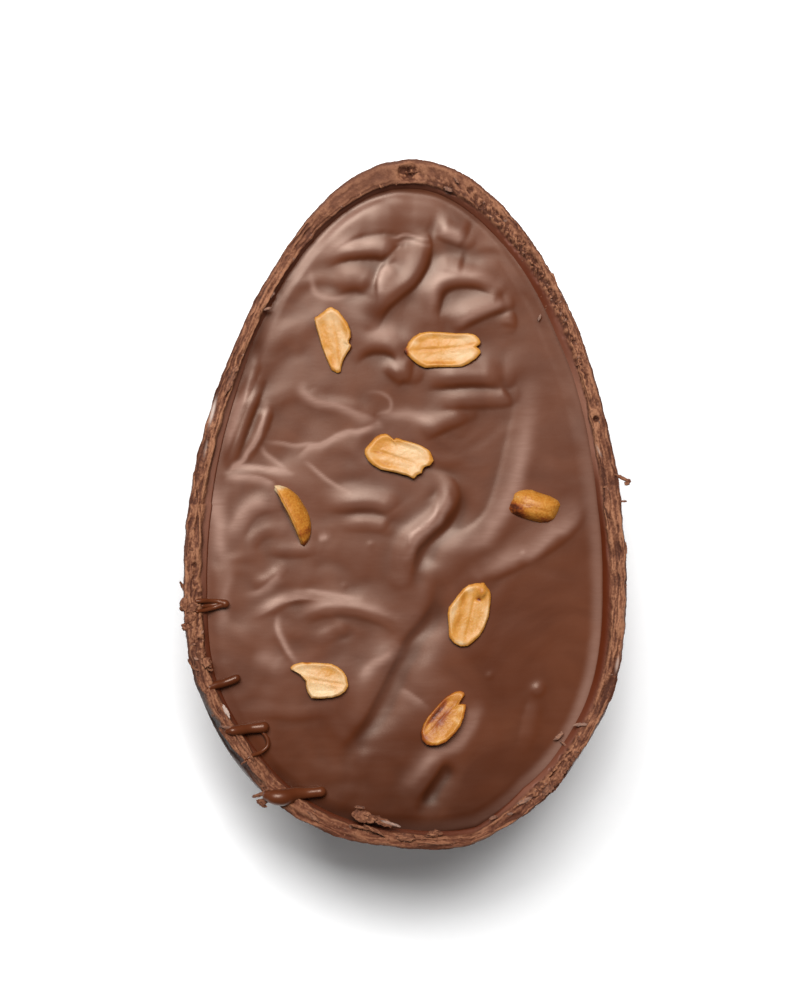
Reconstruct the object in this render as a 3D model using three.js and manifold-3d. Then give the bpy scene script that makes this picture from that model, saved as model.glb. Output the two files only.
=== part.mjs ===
// Half of a moulded chocolate egg, filled with poured chocolate and set with roasted peanut halves.
// The half egg lies on its round back with the open side up. Units are millimetres and +Z is up.
// X runs across the egg and Y along it, with the narrow end at +Y. The origin is under the
// middle of the egg, on the small flat spot that it rests on.
import * as THREE from "three";
import { mergeVertices } from "three/addons/utils/BufferGeometryUtils.js";
import Module from "manifold-3d";

const wasm = await Module();
wasm.setup();

// The egg. Its half width at u, which runs from -1 at the broad end to +1 at the narrow end, is
// GIRTH * sqrt((1 - u * u) / (1 + TAPER * u)), and it is round about its long axis.
const LENGTH = 150;
const GIRTH = 47.1;
const TAPER = 0.45;
const FOOT_CUT = 1.1;

// The moulded shell and its broken edge.
const SHELL_THICK = 5.0;
const EDGE_ROUND = 0.5;
const LIP_WIDTH = 1.6;
const LIP_DROP = 1.5;
const EDGE_WAVE = 0.35;

// The filling, poured to a level under the edge of the shell.
const FILL_DEPTH = 2.6;
const CLEARANCE = 0.3;
const MENISCUS_RISE = 0.9;
const MENISCUS_REACH = 3.0;

// The flat side of a peanut half: its rolled edge, the dish inside that and the crease down it.
const EDGE_ROLL = 0.35;
const FACE_DISH = 0.5;
const CREASE_DEPTH = 0.3;

// How finely the egg is faceted.
const SECTORS = 80;
const BOWL_RINGS = 9;
const INNER_RINGS = 7;
const TOP_RINGS = 11;
const KERNEL_SECTORS = 16;
const KERNEL_RINGS = 9;

const CHOCOLATE = { color: 0x6b4030, roughness: 0.45, metalness: 0 };
const FILLING = { color: 0x5f3322, roughness: 0.3, metalness: 0 };
const PEANUT = { color: 0xe3b57e, roughness: 0.6, metalness: 0 };

// --- Turning geometry into solids and back ---------------------------------------------------

function solidOf(geometry) {
  const bare = new THREE.BufferGeometry();
  bare.setAttribute("position", geometry.getAttribute("position"));
  bare.setIndex(geometry.getIndex());
  const merged = mergeVertices(bare, 1e-4);
  return new wasm.Manifold(
    new wasm.Mesh({
      numProp: 3,
      vertProperties: merged.attributes.position.array,
      triVerts: new Uint32Array(merged.index.array),
    }),
  );
}

function geometryOf(solid) {
  const mesh = solid.getMesh();
  const geometry = new THREE.BufferGeometry();
  geometry.setAttribute("position", new THREE.BufferAttribute(mesh.vertProperties, 3));
  geometry.setIndex(new THREE.BufferAttribute(mesh.triVerts, 1));
  geometry.computeVertexNormals();
  return geometry;
}

// Moves every vertex of a geometry to where place(point) puts it.
function reshape(geometry, place) {
  const position = geometry.getAttribute("position");
  const point = new THREE.Vector3();
  for (let i = 0; i < position.count; i++) {
    point.fromBufferAttribute(position, i);
    place(point);
    position.setXYZ(i, point.x, point.y, point.z);
  }
  return geometry;
}

const smooth = (low, high, value) => THREE.MathUtils.smoothstep(value, low, high);

// --- The egg's own shape ---------------------------------------------------------------------

// The point of the egg that lies in direction d from its middle, inset millimetres under the skin.
function eggPoint(d, inset) {
  const spread = (GIRTH - inset) / Math.sqrt(1 + TAPER * d.y);
  return new THREE.Vector3(spread * d.x, (LENGTH / 2 - inset) * d.y, spread * d.z);
}

// The egg is deepest where it is widest, and the foot is cut a little above that.
const WIDEST = (Math.sqrt(1 - TAPER * TAPER) - 1) / TAPER;
const DEEPEST = GIRTH * Math.sqrt((1 - WIDEST * WIDEST) / (1 + TAPER * WIDEST));
const FOOT_LEVEL = FOOT_CUT - DEEPEST;

// A profile turned once round the vertical axis. Its points are (distance from the axis, height).
function turned(profile) {
  return new THREE.LatheGeometry(profile, SECTORS).rotateX(Math.PI / 2);
}

// An arc of a circle's lower quarter, from the bottom to the height of its middle.
function quarterArc(radius, rings) {
  const points = [];
  for (let i = 0; i <= rings; i++) {
    const angle = THREE.MathUtils.lerp(-Math.PI / 2, 0, i / rings);
    points.push(new THREE.Vector2(i ? radius * Math.cos(angle) : 0, radius * Math.sin(angle)));
  }
  return points;
}

// How far the broken edge stands below the egg's middle plane, at a heading round the egg in
// radians. Two shallow chips flank the broad end, and the rest is a gentle waver.
function edgeDrop(heading) {
  const chip = (at, reach) => Math.exp((Math.cos(heading - at) - 1) / (reach * reach));
  const wave = (count, phase) => Math.sin(count * heading + phase);
  const waver = wave(5, 1) + 0.7 * wave(11, 0) + 0.5 * wave(23, 2);
  return EDGE_WAVE * (1 + 0.5 * waver) + 1.0 * chip(-2.35, 0.3) + 0.7 * chip(-0.85, 0.25);
}

// --- The shell -------------------------------------------------------------------------------

// The shell is turned as a unit bowl, in which a distance of 1 is the egg's skin and GIRTH
// millimetres lie between 1 and 0, and each vertex is then moved to its place on the egg.
function makeShell() {
  const inner = 1 - SHELL_THICK / GIRTH;
  const lip = 1 - (SHELL_THICK - LIP_WIDTH) / GIRTH;
  const edge = [
    new THREE.Vector2(1 - EDGE_ROUND / GIRTH, EDGE_ROUND / GIRTH),
    new THREE.Vector2((1 + lip) / 2, (EDGE_ROUND * 1.3) / GIRTH),
    new THREE.Vector2(lip, (EDGE_ROUND * 0.7) / GIRTH),
  ];
  const profile = [
    ...quarterArc(1, BOWL_RINGS),
    ...edge,
    ...quarterArc(inner, INNER_RINGS).reverse(),
  ];
  const bowl = reshape(turned(profile), (p) => {
    const flat = Math.hypot(p.x, p.y);
    const heading = Math.atan2(p.y, p.x);
    const isEdge = p.z > 1e-6;
    const isInnerTop = Math.abs(p.z) <= 1e-6 && flat < lip;
    const raised = isEdge ? p.z * GIRTH : isInnerTop ? -LIP_DROP : 0;
    const inset = (1 - (isEdge ? flat : p.length())) * GIRTH;
    if (isEdge) p.z = 0;
    p.copy(eggPoint(p.clone().normalize(), inset));
    if (isEdge || isInnerTop || flat > 0.999) p.z += raised - edgeDrop(heading);
  });
  const underFoot = new THREE.BoxGeometry(LENGTH, LENGTH, GIRTH);
  underFoot.translate(0, 0, FOOT_LEVEL - GIRTH / 2);
  return solidOf(bowl).subtract(solidOf(underFoot));
}

// --- The filling -----------------------------------------------------------------------------

// Folds that the pour left in the surface, as [start, bend, end, half width, height]. Places are
// [x, y] on the surface, and a negative height is a furrow.
const FOLDS = [
  [[-22, 45], [-20, 57], [-3, 54], 3.2, 0.7],
  [[3, 60], [9, 50], [-9, 33], 2.4, -0.8],
  [[5, 59], [10, 56], [15, 57], 2.4, 0.7],
  [[5, 49], [12, 49], [20, 47], 2.6, 0.7],
  [[9, 38], [16, 40], [23, 44], 2.6, 0.6],
  [[4, 27], [14, 24], [24, 26], 3.0, 0.9],
  [[-32, 19], [-35, 12], [-39, 5], 1.8, 0.8],
  [[-30, 13], [-18, 14], [-8, 17], 2.4, 0.5],
  [[-18, 0], [-10, -1], [-3, -1], 2.2, 0.8],
  [[4, 6], [12, -2], [1, -12], 2.4, 0.8],
  [[9, 3], [10, -6], [3, -15], 2.6, -0.8],
  [[7, -16], [4, -34], [-13, -54], 2.2, -0.9],
  [[30, 25], [26, 4], [12, -10], 4.0, 0.4],
  [[-22, -26], [-14, -20], [0, -26], 2.6, 0.5],
].map(([start, bend, end, reach, height]) => ({
  line: new THREE.QuadraticBezierCurve(
    new THREE.Vector2(...start),
    new THREE.Vector2(...bend),
    new THREE.Vector2(...end),
  ).getPoints(14),
  reach,
  height,
}));

function foldHeight(x, y) {
  const here = new THREE.Vector2(x, y);
  return FOLDS.reduce((sum, { line, reach, height }) => {
    const near = Math.min(...line.map((p) => p.distanceTo(here)));
    return sum + height * Math.exp(-((near / reach) ** 2));
  }, 0);
}

// The solid that fills the shell, closed by a level top that climbs a little at the wall.
function makeFilling() {
  const radius = 1 - (SHELL_THICK + CLEARANCE) / GIRTH;
  const rimHeight = -FILL_DEPTH / GIRTH;
  const rim = new THREE.Vector2(Math.sqrt(radius ** 2 - rimHeight ** 2), rimHeight);
  const wall = [...quarterArc(radius, INNER_RINGS).slice(0, -1), rim];
  const top = [];
  for (let i = 1; i <= TOP_RINGS; i++) {
    const share = 1 - i / TOP_RINGS;
    top.push(new THREE.Vector2(i < TOP_RINGS ? rim.x * share : 0, 1 + share));
  }
  return solidOf(
    reshape(turned([...wall, ...top]), (p) => {
      if (p.z <= rim.y + 1e-6) {
        const onRim = p.z > rim.y - 1e-6;
        p.copy(eggPoint(p.clone().normalize(), (1 - radius) * GIRTH));
        if (onRim) p.z = -FILL_DEPTH + MENISCUS_RISE;
        return;
      }
      const share = p.z - 1;
      const heading = p.z > 1 ? Math.atan2(p.y, p.x) : 0;
      const onWall = new THREE.Vector3(Math.cos(heading) * rim.x, Math.sin(heading) * rim.x, rim.y);
      const edge = eggPoint(onWall.normalize(), (1 - radius) * GIRTH);
      const fromWall = (1 - share) * Math.hypot(edge.x, edge.y);
      const climb = MENISCUS_RISE * (1 - smooth(0, MENISCUS_REACH, fromWall)) ** 2;
      const calm = smooth(2, 8, fromWall);
      p.set(edge.x * share, edge.y * share, 0);
      p.z = -FILL_DEPTH + climb + calm * foldHeight(p.x, p.y);
    }),
  );
}

// --- The peanuts -----------------------------------------------------------------------------

// Half of a split kernel, flat side up: a domed back and a dished face with a crease down it.
function halfKernel(length, width, thick, grow = 0) {
  const ball = new THREE.SphereGeometry(1, KERNEL_SECTORS, KERNEL_RINGS).rotateX(Math.PI / 2);
  return reshape(ball, (p) => {
    const along = Math.min(Math.abs(p.x), 0.999);
    const fullness = Math.sqrt((1 - along ** 2.7) / (1 - along ** 2));
    const crease = Math.exp(-((p.y / 0.16) ** 2)) * (1 - along ** 2);
    const roll = EDGE_ROLL * (1 - (1 - Math.max(p.z, 0)) ** 4);
    const face = roll - FACE_DISH * smooth(0.1, 0.9, p.z) - CREASE_DEPTH * crease;
    const height = p.z < 0 ? thick * p.z : Math.min(1, p.z * 6) * face;
    p.set(
      p.x * (length / 2 + grow),
      p.y * fullness * (width / 2 + grow) * (1 - 0.08 * p.x),
      height + grow * p.z,
    );
  });
}

// A wedge standing through the kernel, with its sharp edge at [x, y] and its opening turned to a
// heading in degrees: what it covers has broken away.
function wedge(x, y, heading, opening) {
  const reach = 14;
  const depth = 16;
  const half = (opening / 2) * (Math.PI / 180);
  const outline = new THREE.Shape([
    new THREE.Vector2(0, 0),
    new THREE.Vector2(reach, -reach * Math.tan(half)),
    new THREE.Vector2(reach, reach * Math.tan(half)),
  ]);
  return new THREE.ExtrudeGeometry(outline, { depth, bevelEnabled: false })
    .translate(0, 0, -depth / 2)
    .rotateZ((heading * Math.PI) / 180)
    .translate(x, y, 0);
}

// Each kernel half: its size, where its middle lies on the filling, how it is turned round the
// vertical, rolled about its length and pitched along it in degrees, how high the plane of its
// flat face stands over the filling, and what has broken away.
const KERNELS = [
  { size: [15.0, 8.0, 3.6], at: [-15.7, 35.6], turn: -80, roll: 14, pitch: -3, stand: 1.5,
    broken: [[1.1, 3.4, 16, 87]] },
  { size: [17.0, 8.2, 3.8], at: [8.3, 33.7], turn: 1, roll: 0, pitch: 1, stand: 1.5,
    broken: [[7.3, 0.4, 8, 24]] },
  { size: [15.8, 8.3, 3.7], at: [-1.3, 10.5], turn: -15, roll: -4, pitch: 2, stand: 1.6,
    broken: [[5.6, -0.9, -32, 134]] },
  { size: [15.8, 8.2, 3.8], at: [-24.6, -2.5], turn: -64, roll: 78, pitch: 0, stand: -0.5,
    broken: [] },
  { size: [12.8, 7.6, 4.4], at: [28.4, -0.9], turn: -15, roll: 176, pitch: 4, stand: -0.9,
    broken: [[-5.2, 0, 180, 150]] },
  { size: [15.2, 9.2, 3.7], at: [14.2, -24.3], turn: 76, roll: 2, pitch: 1, stand: 1.3,
    broken: [] },
  { size: [14.0, 8.4, 3.6], at: [-18.0, -38.6], turn: -6, roll: -2, pitch: 1, stand: 1.5,
    broken: [[-3.2, -0.6, 222, 138]] },
  { size: [15.0, 8.4, 3.8], at: [8.2, -47.0], turn: 54, roll: -20, pitch: -2, stand: 1.3,
    broken: [[2.2, 0, -16, 16]] },
];

function settle(geometry, { at, turn, roll, pitch, stand }) {
  const radians = (degrees) => (degrees * Math.PI) / 180;
  return geometry
    .rotateX(radians(roll))
    .rotateY(radians(-pitch))
    .rotateZ(radians(turn))
    .translate(at[0], at[1], -FILL_DEPTH + stand);
}

function makeKernel(kernel) {
  const whole = solidOf(settle(halfKernel(...kernel.size), kernel));
  const cuts = kernel.broken.map((cut) => solidOf(settle(wedge(...cut), kernel)));
  return cuts.reduce((left, cut) => left.subtract(cut), whole);
}

// The room that a kernel takes in the filling.
function makePocket(kernel) {
  return solidOf(settle(halfKernel(...kernel.size, CLEARANCE), kernel));
}

// --- Putting it together ---------------------------------------------------------------------

function named(name, solid, material) {
  const mesh = new THREE.Mesh(geometryOf(solid), new THREE.MeshStandardMaterial(material));
  mesh.name = name;
  return mesh;
}

const egg = new THREE.Group();
egg.add(named("shell", makeShell(), CHOCOLATE));

// The filling set round the kernels, so each lies in its own pocket.
const filling = KERNELS.reduce((left, kernel) => left.subtract(makePocket(kernel)), makeFilling());
egg.add(named("filling", filling, FILLING));

KERNELS.forEach((kernel, i) => egg.add(named(`peanut_${i + 1}`, makeKernel(kernel), PEANUT)));

// The part's frame: the middle of the egg's box, on the surface that it rests on.
const box = new THREE.Box3().setFromObject(egg);
const middle = box.getCenter(new THREE.Vector3());
egg.position.set(-middle.x, -middle.y, -box.min.z);

const part = new THREE.Group();
part.add(egg);

export default part;
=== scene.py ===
import math
import random

import bpy
import numpy as np
from mathutils import Matrix, Vector, noise


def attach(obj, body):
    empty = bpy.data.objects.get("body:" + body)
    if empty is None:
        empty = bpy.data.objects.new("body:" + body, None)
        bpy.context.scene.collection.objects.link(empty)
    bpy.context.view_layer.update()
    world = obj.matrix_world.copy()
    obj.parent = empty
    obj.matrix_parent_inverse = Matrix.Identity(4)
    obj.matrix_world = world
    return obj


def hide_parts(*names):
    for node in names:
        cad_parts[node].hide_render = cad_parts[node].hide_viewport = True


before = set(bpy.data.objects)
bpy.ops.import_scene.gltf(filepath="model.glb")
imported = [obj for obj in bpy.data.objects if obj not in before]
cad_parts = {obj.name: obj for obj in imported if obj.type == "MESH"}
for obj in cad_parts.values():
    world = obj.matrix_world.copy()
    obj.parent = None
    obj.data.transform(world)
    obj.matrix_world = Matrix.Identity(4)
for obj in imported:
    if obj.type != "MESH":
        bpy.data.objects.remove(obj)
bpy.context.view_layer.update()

# ---------------------------------------------------------------------------------------------
# The moulded half shell. Milk chocolate, cast about 3 to 5 mm thick in a polished mould, so its
# outside is smooth and satin. The egg was broken open and scraped, which left a dull, crumbly
# rim. It is turned as a unit bowl, and each point is then moved to its place on the egg.

MM = 0.001
LENGTH, GIRTH, TAPER = 150.0, 47.1, 0.45     # the egg's half width is GIRTH where it is halfway
RIM_LEVEL = 47.3                             # the rim's height over the table
FILL_DROP = 2.6                              # how far the filling lies under the rim
SECTORS = 1080                               # columns round the rim
RIM_SHARE = 0.18                             # how much of the unit bowl's radius the rim takes
FACE_END, SLOPE_END = 0.6, 0.9               # where on the rim its face and its slope end, 0 to 1
ROUNDED, WORN_DROP = 0.45, 3.4               # how far the rim's outer edge falls, new and worn
BOWL_INSET, BOWL_DROP = 9.5, 4.0             # where the bowl's hidden inside lies in the egg

# Round the rim, from the right side up over the narrow end, in degrees: how wide the broken face
# is and how wide the smooth slope inside it shows, both in millimetres.
RIM_TABLE = np.array([
    (-180, 3.1, 1.8), (-164, 3.6, 1.3), (-148, 3.3, 0.8), (-138, 3.7, 0.7), (-127, 4.1, 0.6),
    (-110, 3.6, 0.5), (-90, 3.1, 0.5), (-75, 1.7, 0.5), (-62, 3.0, 1.4), (-53, 2.7, 1.5),
    (-42, 2.6, 1.8), (-32, 2.4, 2.2), (-15, 2.9, 2.4), (0, 3.8, 1.4), (15, 3.2, 1.6),
    (24, 2.8, 2.2), (32, 2.5, 3.2), (42, 2.9, 3.0), (53, 3.5, 2.6), (69, 4.6, 1.7),
    (90, 5.2, 0.9), (111, 4.6, 0.7), (127, 3.6, 0.6), (138, 2.9, 0.7), (148, 2.8, 1.0),
    (164, 2.8, 1.5), (180, 3.1, 1.6),
])

# How pale the smooth slope inside the rim is painted, by heading: painted light where light falls
# on it and painted shade where it lies in shadow.
LIP_LIGHT_TABLE = np.array([
    (-180, 0.8), (-168, 0.5), (-156, 0.1), (-80, 0.1), (-62, 0.5), (-45, 0.15), (-30, 0.0),
    (-5, 0.0), (4, 0.2), (10, 1.0), (20, 0.9), (28, 0.3), (40, 0.05), (70, 0.25), (90, 0.4),
    (122, 0.35), (150, 0.3), (164, 0.7), (180, 0.8),
])


def smooth(low, high, value):
    """0 up to low, 1 from high, and a soft rise between them."""
    t = np.clip((value - low) / (high - low), 0, 1)
    return t * t * (3 - 2 * t)


def by_heading(table, heading, column=1):
    """A table's value at each heading in degrees."""
    return np.interp(heading, table[:, 0], table[:, column])


def bump_at(heading, at, reach):
    """1 at a heading in degrees, falling to 0 about reach degrees away from it."""
    away = (heading - at + 180) % 360 - 180
    return np.exp(-((away / reach) ** 2))


def noise_at(x, y, z=0.0, octaves=3, seed=0.0):
    """Seeded fractal noise of about -1 to 1, for arrays of places."""
    x, y, z = np.broadcast_arrays(x, y, z)
    return np.array([
        noise.fractal(Vector((a + seed, b - seed, c + 3.1 * seed)), 0.9, 2.0, octaves)
        for a, b, c in zip(x.ravel(), y.ravel(), z.ravel())
    ]).reshape(x.shape)


def egg_point(dx, dy, dz, inset):
    """The egg's point in a direction, inset in millimetres under its skin."""
    spread = (GIRTH - inset) / np.sqrt(1 + TAPER * dy)
    x, y, z = spread * dx, (LENGTH / 2 - inset) * dy, spread * dz
    return x + 1.3 * smooth(-5, 55, y), y, z


def chipped(heading):
    """How far the broken outline stands inside the moulded one, by heading in degrees."""
    return (1.4 * bump_at(heading, -130, 13) + 0.9 * bump_at(heading, -49, 9)
            - 1.3 * bump_at(heading, -77, 9) + 0.5 * bump_at(heading, -112, 9))


def deselect():
    if bpy.context.object and bpy.context.object.mode != "OBJECT":
        bpy.ops.object.mode_set(mode="OBJECT")
    bpy.ops.object.select_all(action="DESELECT")


def points_of(piece):
    """A mesh's points as an array with a row each."""
    co = np.empty(len(piece.data.vertices) * 3)
    piece.data.vertices.foreach_get("co", co)
    return co.reshape(-1, 3)


def put_points(piece, x, y, z):
    """Moves a mesh's points to places given in millimetres."""
    piece.data.vertices.foreach_set("co", (np.stack([x, y, z], 1) * MM).ravel())
    piece.data.update()


def paint(piece, name, values):
    """Gives a mesh a value at each point, for its material to read."""
    layer = piece.data.attributes.new(name, "FLOAT", "POINT")
    layer.data.foreach_set("value", np.asarray(values, dtype=np.float32))


deselect()
bpy.ops.mesh.primitive_plane_add(size=1)
shell = bpy.context.object
shell.name = "half_shell"
bpy.ops.object.mode_set(mode="EDIT")
bpy.ops.mesh.select_all(action="SELECT")
bpy.ops.mesh.merge(type="CENTER")
bpy.ops.transform.translate(value=(0, 0, -1))
steps = [(math.cos(math.radians(angle)), math.sin(math.radians(angle)))
         for angle in [*np.linspace(-90, -20, 21)[1:], *np.linspace(-20, -4, 10)[1:],
                       -3.2, -2.5, -1.9, -1.4, -1.0, -0.6, -0.3, 0.0]]
steps += [(1 - RIM_SHARE * t, 0.0) for t in np.linspace(0, 1, 30)[1:]]
steps += [(0.8 * math.cos(math.radians(angle)), 0.8 * math.sin(math.radians(angle)))
          for angle in (-8, -20, -40, -65, -90)]
here = (0.0, -1.0)
for there in steps:
    move = (there[0] - here[0], 0, there[1] - here[1])
    bpy.ops.mesh.extrude_region_move(TRANSFORM_OT_translate={"value": move})
    here = there
bpy.ops.mesh.select_all(action="SELECT")
bpy.ops.mesh.spin(steps=SECTORS, angle=2 * math.pi, center=(0, 0, 0), axis=(0, 0, 1))
bpy.ops.mesh.select_all(action="SELECT")
bpy.ops.mesh.remove_doubles(threshold=0.0001)
bpy.ops.mesh.normals_make_consistent(inside=False)
bpy.ops.mesh.select_all(action="DESELECT")
bpy.ops.object.mode_set(mode="OBJECT")

# Headings are spread so that the facets are as wide along the sides as at the ends.
fine = np.radians(np.linspace(-180, 180, 2881))
ex, ey, _ = egg_point(np.cos(fine), np.sin(fine), 0 * fine, 0)
walked = np.concatenate([[0], np.cumsum(np.hypot(np.diff(ex), np.diff(ey)))])


def even(heading):
    """Turns a share of the way round into the heading, in radians, that lies there."""
    return np.interp((heading + math.pi) / (2 * math.pi), walked / walked[-1], fine)


co = points_of(shell)
flat = np.hypot(co[:, 0], co[:, 1])
heading = even(np.arctan2(co[:, 1], co[:, 0]))
degrees = np.degrees(heading)
along = np.interp(heading, fine, walked)
rim_width = by_heading(RIM_TABLE, degrees)
slope_width = by_heading(RIM_TABLE, degrees, 2)

length = np.linalg.norm(co, axis=1)
on_skin = (length > 0.9995) & (co[:, 2] < -1e-5)
on_rim = np.abs(co[:, 2]) <= 1e-5
in_bowl = ~on_skin & ~on_rim
t = np.clip((1 - flat) / RIM_SHARE, 0, 1)

# Where the broken face is ridged, where it is crumbly and where its inner slope is glossy.
ridged = np.clip(bump_at(degrees, 170, 42) + bump_at(degrees, -150, 34)
                 + bump_at(degrees, -95, 40) + 0.7 * bump_at(degrees, -15, 34) + 0.3, 0, 1)
crumbly = np.clip(bump_at(degrees, 45, 26) + bump_at(degrees, -55, 9)
                  + 0.35 * bump_at(degrees, 78, 20) + 0.6 * bump_at(degrees, -160, 10)
                  + 0.4 * bump_at(degrees, -122, 14), 0, 1)
glossy_lip = np.clip(bump_at(degrees, -24, 30), 0, 1)

# Noise in four sizes, drawn out along the rim.
near_rim = on_rim | (on_skin & (co[:, 2] > -0.12))
grain, streak, lump, sweep = np.zeros((4, len(co)))
for rough, length_mm, across, down, seed in (
        (grain, 0.8, 9.0, 60, 4.0), (streak, 8.0, 9.0, 40, 9.0),
        (lump, 3.2, 3.0, 18, 2.0), (sweep, 13.0, 2.4, 6, 6.0)):
    rough[near_rim] = noise_at(along[near_rim] / length_mm, t[near_rim] * across,
                               co[near_rim, 2] * down, 3, seed)

# Chocolate breaks in thin layers, so the face falls in little steps that follow the rim.
STEPS = 3.2
ladder = (2.2 * sweep + 0.25 * streak) * STEPS
layer = (np.floor(ladder) + smooth(0.0, 0.22, ladder - np.floor(ladder))) / STEPS

# Across the rim: the broken face, then the smooth slope, then a little hidden under the filling.
face = np.clip(t / FACE_END, 0, 1)
slope = np.clip((t - FACE_END) / (SLOPE_END - FACE_END), 0, 1)
under = np.clip((t - SLOPE_END) / (1 - SLOPE_END), 0, 1)
inset = face * rim_width + slope * slope_width + under * 0.9
rise = (-ROUNDED * (1 - smooth(0, 0.16, face)) - 0.35 * face ** 3
        - (FILL_DROP - 0.15) * slope ** 0.8 - 3.5 * under)
worn = bump_at(degrees, -137, 12)
rise -= worn * WORN_DROP * (1 - smooth(0, 0.5, face)) ** 1.5
rise += glossy_lip * (0.9 * slope * (1 - slope) * 2)
on_face = smooth(0, 0.08, face) * (1 - smooth(0, 0.5, slope))
coarse = 0.35 + 0.65 * crumbly
rise += on_face * (0.12 * coarse * grain + 0.22 * lump + ridged * (0.42 * layer + 0.2 * streak))
deep = crumbly * smooth(0.3, 0.7, face + 0.25 * lump) * (1 - smooth(0.1, 0.6, slope))
rise -= deep * (0.35 + 1.0 * np.clip(grain + 0.9 * lump, -0.6, 1.1))
inset = inset + on_rim * on_face * (0.25 * lump + 0.15 * crumbly * grain)

x, y, z = np.zeros((3, len(co)))
edge_noise = 0.22 * lump + 0.16 * ridged * layer + (0.04 + 0.14 * crumbly) * grain
cx, cy = np.cos(heading), np.sin(heading)
rx, ry, _ = egg_point(cx, cy, 0 * cx,
                      inset + chipped(degrees) * (1 - 0.5 * t) + edge_noise * (1 - t))
x[on_rim], y[on_rim], z[on_rim] = rx[on_rim], ry[on_rim], rise[on_rim]
down = np.where(length > 0, co[:, 2] / np.maximum(length, 1e-9), 0)
level = np.sqrt(np.clip(1 - down ** 2, 0, 1))
top_share = smooth(-0.16, 0, co[:, 2])
sx, sy, sz = egg_point(level * cx, level * cy, down,
                       (chipped(degrees) + edge_noise) * top_share ** 2)
sz = sz - (ROUNDED + worn * WORN_DROP) * top_share ** 3
x[on_skin], y[on_skin], z[on_skin] = sx[on_skin], sy[on_skin], sz[on_skin]
bx, by, bz = egg_point(level * cx, level * cy, down, BOWL_INSET)
x[in_bowl], y[in_bowl], z[in_bowl] = bx[in_bowl], by[in_bowl], bz[in_bowl] - BOWL_DROP
z[on_rim & (flat < 1e-6)] = -RIM_LEVEL


def dent(cx, cy, wide, tall, depth, turn=0.0):
    """How deep a round or oval dent is at each point of the shell."""
    a = math.radians(turn)
    u = ((x - cx) * math.cos(a) + (y - cy) * math.sin(a)) / wide
    v = (-(x - cx) * math.sin(a) + (y - cy) * math.cos(a)) / tall
    return depth * np.exp(-((u * u + v * v) ** 1.5))


# The air hole at the narrow end, with a curl of chocolate round its left side, a pin hole on the
# right, two shallow bites and three long ridges: place, reach each way, depth and turn. What
# stands up has a depth below 0.
z[on_rim] -= (dent(0.9, 72.0, 2.1, 1.4, 1.7, 6) * (1 + 0.8 * grain))[on_rim]
for hole in [(-1.1, 72.9, 0.35, 0.9, 0.6, -32), (-1.7, 72.5, 0.28, 1.0, -0.6, -12),
             (0.1, 74.0, 1.7, 0.28, -0.6, 16), (41.6, 18.4, 0.55, 0.55, 1.8, 0),
             (-45.9, -13.3, 0.4, 0.4, 0.9, 0), (9.5, 68.3, 1.4, 0.7, 0.7, -25),
             (-44.7, -5.0, 0.25, 9.0, -0.55, 2.5), (-42.6, 8.0, 0.25, 8.0, -0.5, -13),
             (-27.3, 48.0, 0.3, 6.0, -0.35, -29)]:
    z[on_rim] -= dent(*hole)[on_rim]
z = np.maximum(z + RIM_LEVEL, 0)
put_points(shell, x, y, z)

# Where the rim stands proud of its surroundings it is rubbed pale, partly a painted highlight,
# and its hollows get painted shade.
ring_ids = np.flatnonzero(on_rim & (t < 0.985) & (t > 0.01))
rings = ring_ids[np.lexsort((heading[ring_ids], np.round(t[ring_ids], 4)))].reshape(-1, SECTORS)
around = z[rings]
for _ in range(3):
    around = (np.roll(around, 2, 1) + around + np.roll(around, -2, 1)) / 3
    around = (np.vstack([around[:1], around[:-1]]) + around
              + np.vstack([around[1:], around[-1:]])) / 3
wear_and_shading = np.zeros(len(co))
wear_and_shading[rings] = np.clip((z[rings] - around) / 0.14, -1, 1)
paint(shell, "wear_and_shading", 0.5 + 0.5 * wear_and_shading)
rim_places = np.stack([x, y, z], 1)[rings]
rim_degrees = degrees[rings[0]]
paint(shell, "broken",
      np.where(on_rim, (1 - smooth(0.1, 0.75, slope)) * smooth(-0.2, 0.15, face),
               np.where(on_skin, smooth(-0.06, 0, co[:, 2]) * (0.35 + 0.65 * worn), 0)))
paint(shell, "lip", np.where(on_rim, smooth(0.05, 0.5, slope), 0) + in_bowl)
paint(shell, "warm", 0.45 * bump_at(degrees, -103, 42))
paint(shell, "even_face",
      0.6 * bump_at(degrees, 100, 28) * (1 - dent(0.7, 72.2, 2.8, 2.1, 1.0, 6)))
# Painted light and shade on the smooth slope inside the rim.
lit = by_heading(LIP_LIGHT_TABLE, degrees)
paint(shell, "lit",
      np.where(on_rim, smooth(0.0, 0.3, slope) * (1 - smooth(0.85, 1.0, slope)) * lit, 0))
# Painted shade on the worn-down outer edge at the lower left, which lies in shadow.
paint(shell, "worn_edge_shade", worn * (on_skin * smooth(-0.16, -0.02, co[:, 2])
                             + on_rim * (1 - smooth(0.05, 0.5, face))))
# Pale slivers on the rim, and painted highlights on the rim and on the outer skin beside it.
pale_streaks_and_highlights = sum(dent(*streak_at) for streak_at in [
    (-41.9, 20.0, 0.35, 2.8, 1.0, -14), (-43.4, 12.0, 0.25, 2.0, 0.35, -11),
    (46.2, -35.0, 0.3, 1.6, 0.6, -10), (44.4, 1.8, 0.2, 1.4, 0.45, 12),
    (42.2, 11.5, 0.2, 1.3, 0.5, 25), (-41.0, -2.0, 0.2, 6.0, 0.25, 8)])
paint(shell, "pale_and_highlight", np.clip(pale_streaks_and_highlights, 0, 1) * (z > RIM_LEVEL - 4))
bpy.ops.object.shade_smooth()


def linear(code):
    """An sRGB hex colour as the linear colour that a shader takes."""
    parts = [int(code[i:i + 2], 16) / 255 for i in (1, 3, 5)]
    return (*[c / 12.92 if c <= 0.04045 else ((c + 0.055) / 1.055) ** 2.4 for c in parts], 1.0)


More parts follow.
